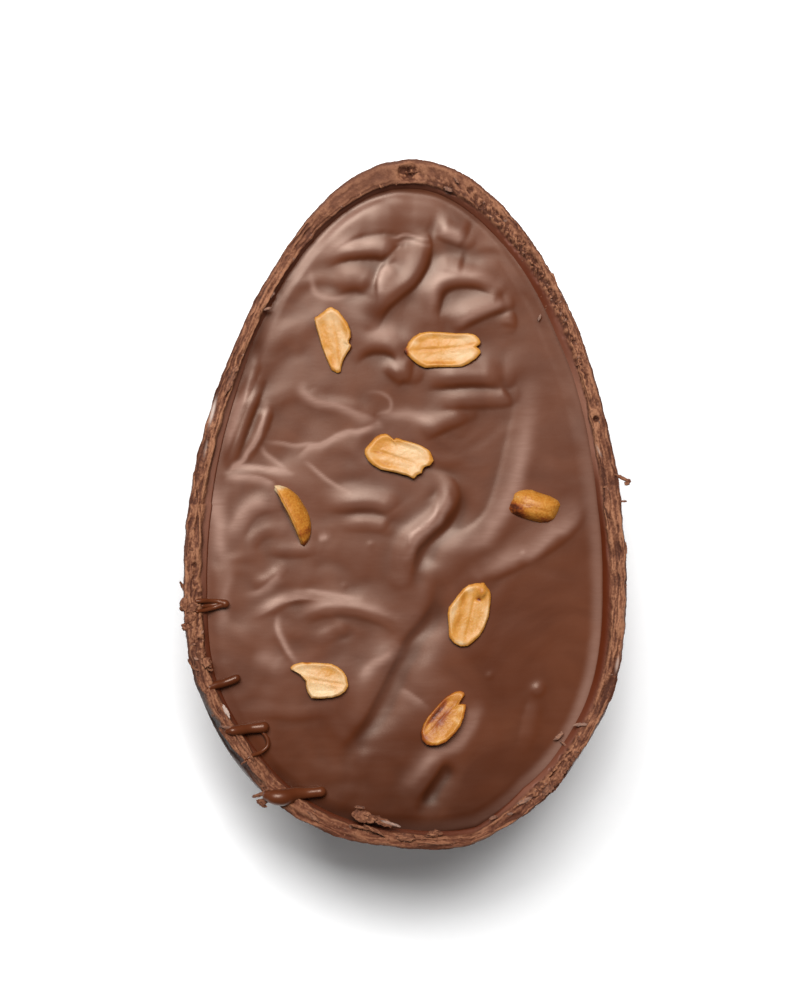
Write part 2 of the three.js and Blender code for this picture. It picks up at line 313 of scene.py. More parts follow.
def add(material, kind, settings=None, links=None, stops=()):
    """Adds a node to a material, sets its fields, inputs and colour stops, and links its inputs.

    The stops of a colour ramp are its two ends and then those between, each a place and a code.
    """
    node = material.node_tree.nodes.new("ShaderNode" + kind)
    for key, value in (settings or {}).items():
        if isinstance(key, str) and hasattr(node, key) and key not in node.inputs:
            setattr(node, key, value)
        else:
            node.inputs[key].default_value = value
    for key, output in (links or {}).items():
        material.node_tree.links.new(output, node.inputs[key])
    for i, (position, code) in enumerate(stops):
        stop = node.color_ramp.elements[i] if i < 2 else node.color_ramp.elements.new(position)
        stop.position, stop.color = position, linear(code)
    return node


def new_material(name):
    material = bpy.data.materials.new(name)
    material.use_nodes = True
    material.node_tree.nodes.clear()
    return material


# Cast milk chocolate. The mould leaves a satin skin with faint clouds of bloom, while a broken
# face is dull and lighter, with sugar and cocoa grains about 0.3 mm across. Painted highlights
# and painted shade are laid on its rim, the slope inside it, its chips and its worn edge.
cast_chocolate = new_material("cast_milk_chocolate")
place = add(cast_chocolate, "TexCoord").outputs["Object"]
broken, lip, worn_edge_shade, wear_and_shading, warm, even_face, lit, pale_and_highlight = (
    add(cast_chocolate, "Attribute", {"attribute_name": name}).outputs["Fac"]
    for name in ("broken", "lip", "worn_edge_shade", "wear_and_shading", "warm", "even_face", "lit", "pale_and_highlight"))
clouds = add(cast_chocolate, "TexNoise", {"Scale": 1 / (14 * MM), "Detail": 4.0},
             {"Vector": place})
grains = add(cast_chocolate, "TexNoise",
             {"Scale": 1 / (0.5 * MM), "Detail": 6.0, "Roughness": 0.65}, {"Vector": place})
patches = add(cast_chocolate, "TexNoise",
              {"Scale": 1 / (2.2 * MM), "Detail": 4.0, "Roughness": 0.6}, {"Vector": place})
skin_tone = add(cast_chocolate, "ValToRGB", links={"Fac": clouds.outputs["Fac"]},
                stops=((0.3, "#47220f"), (0.75, "#552d1b")))
# Painted highlights on raised parts and painted shade in hollows, mixed with wear, lighten and
# darken the broken face.
wear_and_shading_part = add(cast_chocolate, "Math", {"operation": "MULTIPLY", 1: 0.45}, {0: wear_and_shading})
mottle = add(cast_chocolate, "Math", {"operation": "MULTIPLY_ADD", 1: 0.75},
             {0: grains.outputs["Fac"], 2: wear_and_shading_part.outputs[0]})
mottled = add(cast_chocolate, "Math", {"operation": "MULTIPLY_ADD", 1: 0.35},
              {0: patches.outputs["Fac"], 2: mottle.outputs[0]})
toned = add(cast_chocolate, "MapRange", {"From Min": 0.55, "From Max": 1.05},
            {"Value": mottled.outputs[0]})
face_tone = add(cast_chocolate, "ValToRGB", links={"Fac": toned.outputs[0]},
                stops=((0.0, "#44200f"), (1.0, "#946447"), (0.47, "#683d27")))
warmed = add(cast_chocolate, "Mix", {"data_type": "RGBA", 7: linear("#54260e")},
             {0: warm, 6: face_tone.outputs["Color"]})
evened = add(cast_chocolate, "Mix", {"data_type": "RGBA", 7: linear("#603926")},
             {0: even_face, 6: warmed.outputs[2]})
with_face = add(cast_chocolate, "Mix", {"data_type": "RGBA"},
                {0: broken, 6: skin_tone.outputs["Color"], 7: evened.outputs[2]})
# The slope inside the rim in a shaded and a lit tone: painted shade and painted light.
lip_light_and_shade = add(cast_chocolate, "Mix",
               {"data_type": "RGBA", 6: linear("#552109"), 7: linear("#8f6250")}, {0: lit})
with_lip = add(cast_chocolate, "Mix", {"data_type": "RGBA"},
               {0: lip, 6: with_face.outputs[2], 7: lip_light_and_shade.outputs[2]})
# Pale slivers and painted highlights.
with_pale_and_highlight = add(cast_chocolate, "Mix", {"data_type": "RGBA", 7: linear("#b8a498")},
                {0: pale_and_highlight, 6: with_lip.outputs[2]})
# Painted shade on the worn outer edge.
with_worn_edge_shade = add(cast_chocolate, "Mix", {"data_type": "RGBA", 7: linear("#33251f")},
                {0: worn_edge_shade, 6: with_pale_and_highlight.outputs[2]})
dull = add(cast_chocolate, "MapRange", {"To Min": 0.42, "To Max": 0.8}, {"Value": broken})
bump_share = add(cast_chocolate, "MapRange", {"To Min": 0.04, "To Max": 1.0}, {"Value": broken})
fine_bump = add(cast_chocolate, "Bump", {"Distance": 0.18 * MM},
                {"Height": grains.outputs["Fac"], "Strength": bump_share.outputs[0]})
shader = add(cast_chocolate, "BsdfPrincipled", {"IOR": 1.48}, {
    "Base Color": with_worn_edge_shade.outputs[2], "Roughness": dull.outputs[0],
    "Normal": fine_bump.outputs["Normal"]})
add(cast_chocolate, "OutputMaterial", links={"Surface": shader.outputs["BSDF"]})
shell.data.materials.append(cast_chocolate)
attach(shell, "root")
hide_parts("shell")

# ---------------------------------------------------------------------------------------------
# The filling. Tempered milk chocolate, poured in and pushed about while it set, so folds and
# veils lie over each other in its surface. It is one closed body, with a fine grid on top whose
# folds are raised one by one, and a plain round underside that follows the shell.

# Each fold is (height, reach on its left side, reach on its right side, places along it), in
# millimetres, and fades in from its first place. The pour overlaps like scales, so one side falls
# steeply and the other gently. A furrow has a height below 0.
FOLDS = [
    (0.65, 3.6, 1.2, [(-18.5, 52.8), (-14, 54.8), (-9, 55.4), (-5, 55.2), (-3.6, 54.2)]),
    (0.45, 4.5, 2.6, [(-19, 57.5), (-13, 61), (-6, 62.8), (2, 62.3)]),
    (0.33, 2.5, 2.0, [(-17, 47.5), (-13, 49.3), (-10, 49.5), (-7, 48)]),
    (0.26, 0.8, 3.0, [(-5, 44), (-5.3, 48), (-4.4, 51), (-2.5, 53)]),
    (0.78, 1.4, 4.0, [(2.4, 60), (3.8, 57), (3.2, 53), (1, 49.3), (-2.4, 46.4), (-5.4, 43.6),
                      (-7.5, 40)]),
    (0.59, 3.0, 1.4, [(6, 60), (10, 59.3), (13.5, 57.8)]),
    (0.26, 2.5, 1.5, [(5.5, 52.8), (10, 52.6), (13, 52)]),
    (0.62, 2.8, 1.4, [(5.4, 38.5), (5.6, 43), (7, 47.2), (10.5, 49.2), (15.5, 49.2), (20, 47.4)]),
    (0.60, 2.8, 1.3, [(9.3, 38.4), (13.5, 40.9), (18.5, 43.2), (22, 44)]),
    (0.20, 0.9, 2.0, [(22.4, 42.5), (23, 40.5), (23, 38.5)]),
    (0.49, 3.2, 1.2, [(-12.5, 31), (-9.5, 33.8), (-6, 34.8), (-2.5, 34), (0, 31.5)]),
    (0.59, 2.4, 1.6, [(-3.4, 27), (-2, 28.4), (-0.6, 29), (1.8, 28.6)]),
    (0.81, 3.6, 1.6, [(3.5, 27.2), (10, 27.8), (16, 28), (22, 27.6)]),
    (0.49, 2.6, 1.5, [(4.5, 22.4), (12, 23), (20.5, 23.3), (23, 24)]),
    (0.39, 2.6, 1.3, [(3, 15.2), (8, 17.6), (13.8, 20)]),
    (0.20, 1.4, 1.4, [(-21.5, 27), (-21.5, 24), (-18, 22.2), (-12, 21.2), (-7.5, 19.2)]),
    (0.52, 1.9, 1.0, [(-39.5, 6.5), (-37.2, 12.5), (-34.8, 19), (-32, 26.5)]),
    (0.39, 1.3, 1.0, [(-36, 8.5), (-33, 13.5), (-31, 18), (-30.3, 21)]),
    (0.39, 1.6, 1.0, [(-41.3, 9), (-38.8, 16), (-36, 23), (-33, 30)]),
    (0.62, 2.6, 1.2, [(-19, -0.2), (-13, 0), (-8, 0.2), (-4.4, -0.4), (-3, -1.8)]),
    (0.34, 1.6, 1.1, [(-15, -4.6), (-10, -4.3), (-5.5, -4.6), (-4, -5.4)]),
    (0.33, 2.2, 1.6, [(-37.5, -9), (-36.2, -4), (-33, -0.5), (-28, 0.6)]),
    (0.16, 1.4, 1.2, [(-33, -13), (-34, -9), (-31, -6), (-27, -5.5)]),
    (0.20, 1.6, 0.9, [(-31, -10), (-25, -10.4), (-19, -9.8)]),
    (0.26, 1.2, 1.0, [(-34, -18), (-30, -16.7), (-27, -14.2)]),
    (0.20, 1.4, 0.8, [(-34.5, -25), (-29.5, -23), (-25, -20.8), (-21, -20.2)]),
    (0.16, 1.2, 0.8, [(-27.3, -24.5), (-27.6, -28.5), (-26, -32), (-24.4, -34.2)]),
    (0.52, 2.8, 1.2, [(-23, -25.6), (-19, -23.3), (-13, -22.8), (-7, -24), (-2, -26.3)]),
    (0.20, 1.4, 1.2, [(-21, -30.5), (-16, -28.2), (-12.5, -27)]),
    (-0.16, 1.2, 1.2, [(-17, -28.3), (-13, -29), (-11.5, -27)]),
    (0.78, 1.8, 2.4, [(3.5, 5.2), (8, 4.2), (9.4, 1.2), (7.8, -2.6), (4, -6), (1, -8.6),
                      (-0.4, -12), (-1.2, -16)]),
    (0.08, 0.6, 0.8, [(7, 1.5), (6.5, -2), (3.5, -5), (1.5, -6.6)]),
    (-0.78, 3.4, 1.5, [(12.5, 4.5), (11, 0), (9, -4.5), (5.5, -8.5), (3.6, -12), (2.5, -15.5)]),
    (-0.98, 3.6, 1.7, [(7.3, -13), (7.3, -19), (5.5, -25), (1.5, -30), (-1.5, -35.5), (-4, -41.5),
                       (-8, -48.5), (-12, -53)]),
    (0.45, 1.8, 3.0, [(-0.5, -29.5), (-4, -34), (-7.5, -39), (-11, -46)]),
    (0.20, 3.5, 3.5, [(3, -33), (5.5, -37), (6, -42)]),
    (0.33, 3.0, 2.4, [(27, 30), (27.3, 22), (25.5, 13), (23.6, 5), (21.3, -2), (18, -6.4),
                      (13.5, -9.3), (9, -9.5)]),
    (0.29, 1.6, 4.2, [(38.5, 2), (36.5, -3.5), (31.5, -8), (26, -11), (21, -13.5), (17, -15)]),
    (0.33, 2.2, 2.2, [(9, -54.5), (5, -58.5), (0.5, -63.5)]),
    (-0.55, 2.2, 1.3, [(10, -56), (7.6, -60), (3.5, -66.5)]),
    (0.16, 1.6, 1.2, [(29, -42), (27.6, -47), (26.5, -53)]),
    (0.13, 1.6, 1.0, [(-37.5, -46), (-30, -45.5), (-24, -46), (-16, -45)]),
]

# Each veil is a thin streak of paler colour: how strong it is, its reach on each side, and places
# along it. Some are veils of paler chocolate drawn out in the pour; many run along the crest of a
# fold as painted highlights, and the short one beside peanut_4 is a painted glint.
VEILS_AND_HIGHLIGHTS = [
    (0.50, 0.4, 0.8, [(-32, 14), (-27, 13.4), (-22, 12.9), (-17, 13.6)]),
    (0.75, 0.6, 1.3, [(-25, 9.3), (-22, 11.3), (-18, 13.5), (-14, 15), (-9, 16.5), (-6, 17.5)]),
    (0.50, 0.5, 0.8, [(-31.8, 13.5), (-30.5, 11), (-28, 9), (-25.5, 7)]),
    (0.75, 0.5, 1.1, [(-39.5, 6), (-36.5, 8), (-33, 8.3), (-29, 7.5), (-25, 6.8)]),
    (0.60, 0.5, 1.6, [(-40, 4.5), (-38, 6), (-34, 6), (-30, 5), (-28.5, 4)]),
    (0.55, 0.4, 0.7, [(-22.5, 9.5), (-20.5, 8.2), (-18.5, 6.5), (-16.5, 5), (-12, 2.3)]),
    (0.85, 0.6, 0.5, [(-39.8, 6), (-37.5, 7.8), (-35, 10), (-33, 13.5), (-31.2, 17.5),
                      (-30.3, 21)]),
    (0.55, 1.6, 0.8, [(-39.5, 10), (-37.8, 15), (-36, 21), (-33.5, 26.5)]),
    (0.55, 0.8, 1.6, [(-21.5, 27), (-22, 24.5), (-20, 22.8), (-15, 21.5), (-10, 19.5), (-6, 18)]),
    (0.30, 0.5, 0.5, [(-9.5, 23.8), (-6, 24.5), (-3.3, 22.8), (-3.5, 20.5), (-6, 19.5)]),
    (0.40, 1.5, 1.5, [(-7, 19), (0, 19.5), (6, 18)]),
    (0.45, 1.4, 2.6, [(-37.5, -10), (-37.5, -6), (-35.5, -2), (-32.5, 0), (-29.5, 0.3)]),
    (0.55, 2.2, 2.2, [(-41, 5), (-41.3, 0), (-40.6, -6), (-40, -13)]),
    (0.60, 1.0, 0.8, [(-19.5, -7.5), (-17, -7)]),
    (0.45, 0.7, 1.6, [(-36, -20.6), (-32, -19), (-29, -17), (-27, -15)]),
    (0.60, 1.8, 0.4, [(-33.5, -25.2), (-30, -23.5), (-27, -21.8), (-23, -20.8), (-18, -21.2)]),
    (0.50, 0.5, 0.9, [(-25, -19), (-20, -19), (-15, -20), (-10, -20.5)]),
    (0.60, 0.9, 0.5, [(-27.5, -23.5), (-28, -27), (-26.5, -31), (-24.2, -34.6)]),
    (0.45, 1.4, 0.7, [(-24, -26), (-20, -23), (-14, -21.8), (-8, -23), (-2, -25)]),
    (0.30, 1.5, 1.2, [(-38, -12), (-39.5, -20), (-40, -28)]),
    (0.30, 2.6, 2.0, [(-34, -33), (-30, -34), (-27, -35.5)]),
    (0.45, 1.0, 1.8, [(-10, -40), (-8.4, -36.5), (-5, -33.5), (-2, -31.5)]),
    (0.45, 2.4, 2.4, [(28, 30), (27.5, 22), (26.5, 14), (25, 8), (23, 2), (20, -4), (16, -8.5),
                      (11, -9)]),
    (0.45, 1.4, 3.0, [(38, 2), (36.5, -3), (33, -7), (28, -10.5), (22, -13), (16, -15.5)]),
    (0.60, 0.5, 0.5, [(7.5, 1.8), (7.2, -1), (5, -4.5), (2, -7), (1, -8.5)]),
    (0.40, 0.8, 1.4, [(7.5, 4), (9, 2.5), (9.3, 0), (8, -3), (5, -6), (2, -9), (0.5, -12)]),
    (0.35, 0.4, 1.6, [(-1.5, -40.3), (1, -41.5), (4.5, -44)]),
    (0.35, 1.6, 2.6, [(15, -42), (15.5, -46), (12, -52), (7, -55), (1, -61)]),
    (0.40, 0.8, 0.8, [(-20, 52), (-20.5, 49), (-19.5, 46), (-16, 45), (-11, 45.4)]),
    (0.45, 0.5, 1.6, [(-5.5, 43.5), (-5.8, 48), (-4.8, 51), (-2.5, 52.8)]),
    (0.35, 2.2, 2.2, [(-9, 38), (-5, 37.5), (-1, 37.5)]),
    (0.50, 0.4, 0.4, [(-4, 58.2), (0, 58.4), (5, 57.8)]),
    (0.40, 0.4, 0.5, [(-3, 56.8), (1, 57), (5.5, 56.2)]),
    (0.45, 1.6, 1.6, [(6.5, 59.8), (10, 59), (13, 57.6)]),
    (0.35, 1.6, 1.6, [(5.5, 38.5), (6, 43), (6.8, 47), (10, 49.8), (16, 49.8), (20.5, 47.8)]),
    (0.40, 1.2, 1.2, [(9.5, 38.4), (14, 41), (19, 43.3), (22, 44.2)]),
    (0.35, 1.4, 1.4, [(-20.5, 53.3), (-15, 56), (-9, 56.9), (-4.5, 56)]),
]

# How far the pour's edge climbs the wall, by heading in degrees, in millimetres. Below 0 it
# sinks.
EDGE_TABLE = np.array([
    (-180, -0.35), (-150, -0.3), (-120, -0.4), (-90, -0.5), (-72, -0.4), (-55, 0.35), (-30, 0.42),
    (0, 0.35), (30, 0.42), (48, 0.4), (62, 0.0), (75, -0.2), (100, -0.35), (120, -0.4),
    (140, -0.4), (150, 0.25), (160, -0.25), (180, -0.35),
])

# Air bubbles that rose and set as pimples: place, radius and height.
PIMPLES = [(29, -40.6, 1.1, 0.35), (18.5, -37.6, 0.5, 0.15), (26, -11.1, 0.5, 0.18),
           (-7.5, -9, 0.5, 0.15), (-13.2, -18, 0.4, 0.12)]
SHEER = 0.7                                  # how sharply a fold's steep side ends, 0 to 1


def curve_through(places, parts=16):
    """A smooth line through places, as a Catmull-Rom curve."""
    p = [np.array(q, float) for q in places]
    p = [2 * p[0] - p[1], *p, 2 * p[-1] - p[-2]]
    out = []
    for a, b, c, d in zip(p, p[1:], p[2:], p[3:]):
        for k in range(parts):
            s = k / parts
            out.append(0.5 * (2 * b + (c - a) * s + (2 * a - 5 * b + 4 * c - d) * s ** 2
                              + (3 * b - a - 3 * c + d) * s ** 3))
    return np.array([*out, p[-2]])


def flank(gap, reach, sheer):
    """A fold's side, which dies away softly or ends in a crease."""
    return ((1 - sheer) * np.exp(-((gap / reach) ** 2))
            + sheer * np.sqrt(np.clip(1 - (gap / (1.45 * reach)) ** 2, 0, 1)))


def fold(px, py, height, left, right, places, sheer=0.0):
    """How much one fold raises each point, with how sharply its steep side ends."""
    line = curve_through(places)
    reach = 3 * max(left, right)
    near = np.flatnonzero((px > line[:, 0].min() - reach) & (px < line[:, 0].max() + reach)
                          & (py > line[:, 1].min() - reach) & (py < line[:, 1].max() + reach))
    out = np.zeros(len(px))
    if not len(near):
        return out
    q = np.stack([px[near], py[near]], 1)
    best = np.full(len(near), 1e9)
    side = np.zeros(len(near))
    share = np.zeros(len(near))
    for i, (a, b) in enumerate(zip(line, line[1:])):
        d = b - a
        run = np.hypot(*d)
        s = np.clip(((q - a) @ d) / run ** 2, 0, 1)
        off = q - a - s[:, None] * d
        gap = np.hypot(off[:, 0], off[:, 1])
        turn = (d[0] * off[:, 1] - d[1] * off[:, 0]) / run
        closer = gap < best
        best[closer], side[closer], share[closer] = gap[closer], turn[closer], (i + s[closer])
    lean = smooth(-1, 1, side / np.maximum(best, 0.2))
    share /= len(line) - 1
    ends = smooth(0, 0.4, share) * (0.3 + 0.7 * smooth(0, 0.25, 1 - share))
    left_flank = flank(best, left, sheer if left < right else 0)
    right_flank = flank(best, right, sheer if right < left else 0)
    out[near] = height * ends * (right_flank + (left_flank - right_flank) * lean)
    return out


def relief(px, py):
    """The height of the pour's surface over its level, from its folds, pimples and ripples."""
    h = sum(fold(px, py, *f, SHEER if f[0] > 0 else 0.0) for f in FOLDS)
    for cx, cy, r, tall in PIMPLES:
        h = h + tall * np.exp(-(((px - cx) ** 2 + (py - cy) ** 2) / r ** 2))
    bend = noise_at(px / 16, py / 16, 0, 2, 5.0)
    bend2 = noise_at(px / 16, py / 16, 7, 2, 6.0)
    worked = 0.35 + 0.65 * smooth(24, -4, px - 0.25 * py)
    h = h + 0.22 * worked * noise_at((px + 6 * bend) / 12, (py + 6 * bend2) / 9, 0, 2, 11.0)
    lower = smooth(-30, -50, py)
    return h + 0.014 * lower * noise_at(px / 10, py / 0.8, 0, 2, 3.0)


def dome(px, py):
    """How far the pour's level falls from its middle towards its ends and sides."""
    return (0.25 * smooth(20, -10, px) * smooth(20, 50, py)
            - 0.5 * (py / 75) ** 2 - 0.3 * (px / 47) ** 2)


def veils_and_highlights(px, py):
    """How much paler colour is painted at each point: veils of paler chocolate, painted
    highlights along folds and a painted milky sheen.
    """
    sway = 0.5 * noise_at(px / 5, py / 5, 3, 2, 8.0)
    # A paler, milky patch on the left and a weaker one on the right: painted sheen.
    milky_sheen = (0.12 * smooth(12, -6, px + 0.15 * py) * smooth(-52, -38, py) * smooth(20, 8, py)
            + 0.06 * smooth(8, 22, px) * smooth(-12, 2, py) * smooth(40, 25, py))
    lines = sum(fold(px + sway, py - sway, 1.5 * strength, 0.8 * left, 0.8 * right, places)
                for strength, left, right, places in VEILS_AND_HIGHLIGHTS)
    return np.clip(milky_sheen * (1 + 0.6 * noise_at(px / 9, py / 9, 6, 3, 4.0)) + lines, 0, 1)


deselect()
GRID_X, GRID_Y = 226, 340                    # the top's grid
FILL_LAP = 0.7                               # how far the filling reaches into the shell's wall
bpy.ops.mesh.primitive_grid_add(x_subdivisions=GRID_X, y_subdivisions=GRID_Y, size=2)
filling = bpy.context.object
filling.name = "poured_filling"
co = points_of(filling)
u, v = co[:, 0], co[:, 1]
dx, dy = u * np.sqrt(1 - v * v / 2), v * np.sqrt(1 - u * u / 2)
share = np.hypot(dx, dy)
heading = np.arctan2(dy, dx)
degrees = np.degrees(heading)
rim_width = by_heading(RIM_TABLE, degrees)
slope_width = by_heading(RIM_TABLE, degrees, 2)
ex, ey, _ = egg_point(np.cos(heading), np.sin(heading), 0 * heading,
                      rim_width + slope_width - FILL_LAP)
fx, fy = share * ex, share * ey
from_wall = (1 - share) * np.hypot(ex, ey)
edge_lift = (by_heading(EDGE_TABLE, degrees) * (1 - smooth(0.2, 4.2, from_wall))
             + 0.4 * bump_at(degrees, 95, 36) * (1 - smooth(0.0, 2.0, from_wall)))
calm = smooth(0.6, 3.2, from_wall)
wavy = relief(fx, fy)
order = np.lexsort((np.round(u, 5), np.round(v, 5)))
rows = wavy[order].reshape(GRID_Y + 1, GRID_X + 1)
for axis in (0, 1):                          # the pour was still soft, so its edges are rounded
    rows = (np.roll(rows, 1, axis) + 2 * rows + np.roll(rows, -1, axis)) / 4
wavy[order] = rows.ravel()
mean = rows.copy()
for _ in range(12):
    for axis in (0, 1):
        mean = (np.roll(mean, 2, axis) + 2 * mean + np.roll(mean, -2, axis)) / 4
hollow = np.empty(len(fx))
hollow[order] = np.clip((mean - rows) / 0.16, -1, 1).ravel()
hollow *= calm
fz = RIM_LEVEL - FILL_DROP + edge_lift + calm * wavy + dome(fx, fy)
put_points(filling, fx, fy, fz)
band = smooth(0.5, 1.0, from_wall) * (1 - smooth(1.6, 3.8, from_wall))
by_wall = smooth(0.8, 2.0, from_wall) * (1 - smooth(2.0, 5.5, from_wall))
# Besides the veils, the crests of the folds and bands along the upper left and right walls are
# painted paler: painted highlights.
paint(filling, "veil_and_highlight", np.clip(veils_and_highlights(fx, fy) + 0.11 * np.clip(-hollow, 0, 1)
                               + 0.6 * by_wall * bump_at(degrees, 117, 15)
                               + 0.36 * band * bump_at(degrees, -35, 42), 0, 1))
# Painted shade: darker in the hollows of the folds and in bands along the wall where the rim and
# the meniscus shade the pour; the pour is also painted darker towards the bottom.
paint(filling, "deep",
      0.45 * smooth(-46, -70, fy) * (0.8 + 0.2 * noise_at(fx / 14, fy / 5, 4, 2, 3.0))
      + 0.55 * smooth(4.5, 0.5, from_wall) * bump_at(degrees, -97, 32)
      + 0.4 * np.clip(hollow, 0, 1)
      + 0.35 * smooth(4.0, 1.0, from_wall) * bump_at(degrees, 151, 8)
      + 0.3 * smooth(2.4, 0.4, from_wall) * bump_at(degrees, 90, 38)
      + 0.6 * smooth(0.9, 0.1, from_wall) * bump_at(degrees, -10, 55))
bpy.ops.object.mode_set(mode="EDIT")
bpy.ops.mesh.select_mode(type="EDGE")
bpy.ops.mesh.select_all(action="DESELECT")
bpy.ops.mesh.select_non_manifold()
# The hidden underside goes down in rings: how each one shrinks and how far it drops.
for size, drop in ((0.95, 1.6), (0.93, 3.4), (0.88, 8), (0.8, 9), (0.62, 8), (0.4, 4)):
    bpy.ops.mesh.extrude_region_move(TRANSFORM_OT_translate={"value": (0, 0, -drop * MM)})
    bpy.ops.transform.resize(value=(size, size, 1), center_override=(0, 0, 0))
bpy.ops.mesh.edge_face_add()
bpy.ops.mesh.select_all(action="SELECT")
bpy.ops.mesh.normals_make_consistent(inside=False)
bpy.ops.object.mode_set(mode="OBJECT")
bpy.ops.object.shade_smooth()

# Poured milk chocolate. It sets with a soft sheen that is a little duller where it was worked,
# and thin veils of paler chocolate lie over each other in it. Painted highlights and a painted
# milky sheen share the veils' paler colour, and painted shade darkens its hollows and edges.
poured_chocolate = new_material("poured_milk_chocolate")
place = add(poured_chocolate, "TexCoord").outputs["Object"]
drift = add(poured_chocolate, "TexNoise",
            {"Scale": 1 / (22 * MM), "Detail": 3.0, "Distortion": 1.5}, {"Vector": place})
tone = add(poured_chocolate, "ValToRGB", links={"Fac": drift.outputs["Fac"]},
           stops=((0.35, "#4b220f"), (0.7, "#572b16")))
veil_and_highlight = add(poured_chocolate, "Attribute", {"attribute_name": "veil_and_highlight"}).outputs["Fac"]
deep = add(poured_chocolate, "Attribute", {"attribute_name": "deep"}).outputs["Fac"]
# The pour's painted shade, a near-black brown.
with_painted_shade = add(poured_chocolate, "Mix", {"data_type": "RGBA", 7: linear("#240c03")},
               {0: deep, 6: tone.outputs["Color"]})
stretched = add(poured_chocolate, "VectorMath",
                {"operation": "MULTIPLY", 1: (1 / (8 * MM), 1 / (1.6 * MM), 1 / (3 * MM))},
                {0: place})
strands = add(poured_chocolate, "TexNoise", {"Scale": 1.0, "Detail": 3.0, "Distortion": 2.2},
              {"Vector": stretched.outputs[0]})
strand_share = add(poured_chocolate, "MapRange",
                   {"From Min": 0.3, "From Max": 0.7, "To Min": 0.88, "To Max": 1.12},
                   {"Value": strands.outputs["Fac"]})
drawn_veil_and_highlight = add(poured_chocolate, "Math", {"operation": "MULTIPLY"},
                 {0: veil_and_highlight, 1: strand_share.outputs[0]})
# Paler veils and painted highlights.
with_veil_and_highlight = add(poured_chocolate, "Mix", {"data_type": "RGBA", 7: linear("#87675a")},
             {0: drawn_veil_and_highlight.outputs[0], 6: with_painted_shade.outputs[2]})
sheen = add(poured_chocolate, "MapRange", {"To Min": 0.31, "To Max": 0.41},
            {"Value": drift.outputs["Fac"]})
ripple = add(poured_chocolate, "TexNoise", {"Scale": 1 / (1.6 * MM), "Detail": 3.0},
             {"Vector": place})
ripple_bump = add(poured_chocolate, "Bump", {"Strength": 0.08, "Distance": 0.1 * MM},
                  {"Height": ripple.outputs["Fac"]})
strand_bump = add(poured_chocolate, "Bump", {"Strength": 0.05, "Distance": 0.1 * MM},
                  {"Height": strands.outputs["Fac"], "Normal": ripple_bump.outputs["Normal"]})
shader = add(poured_chocolate, "BsdfPrincipled",
             {"IOR": 1.5, "Specular Tint": linear("#ffe8d6")},
             {"Base Color": with_veil_and_highlight.outputs[2], "Roughness": sheen.outputs[0],
              "Normal": strand_bump.outputs["Normal"]})
add(poured_chocolate, "OutputMaterial", links={"Surface": shader.outputs["BSDF"]})
filling.data.materials.append(poured_chocolate)
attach(filling, "root")
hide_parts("filling")

# ---------------------------------------------------------------------------------------------
# The roasted peanut halves. Each kernel split along its seam, so it has a flat, dished face with
# a crease down it and a domed back, and most are nicked or snapped. They were pressed into the
# pour while it was soft.

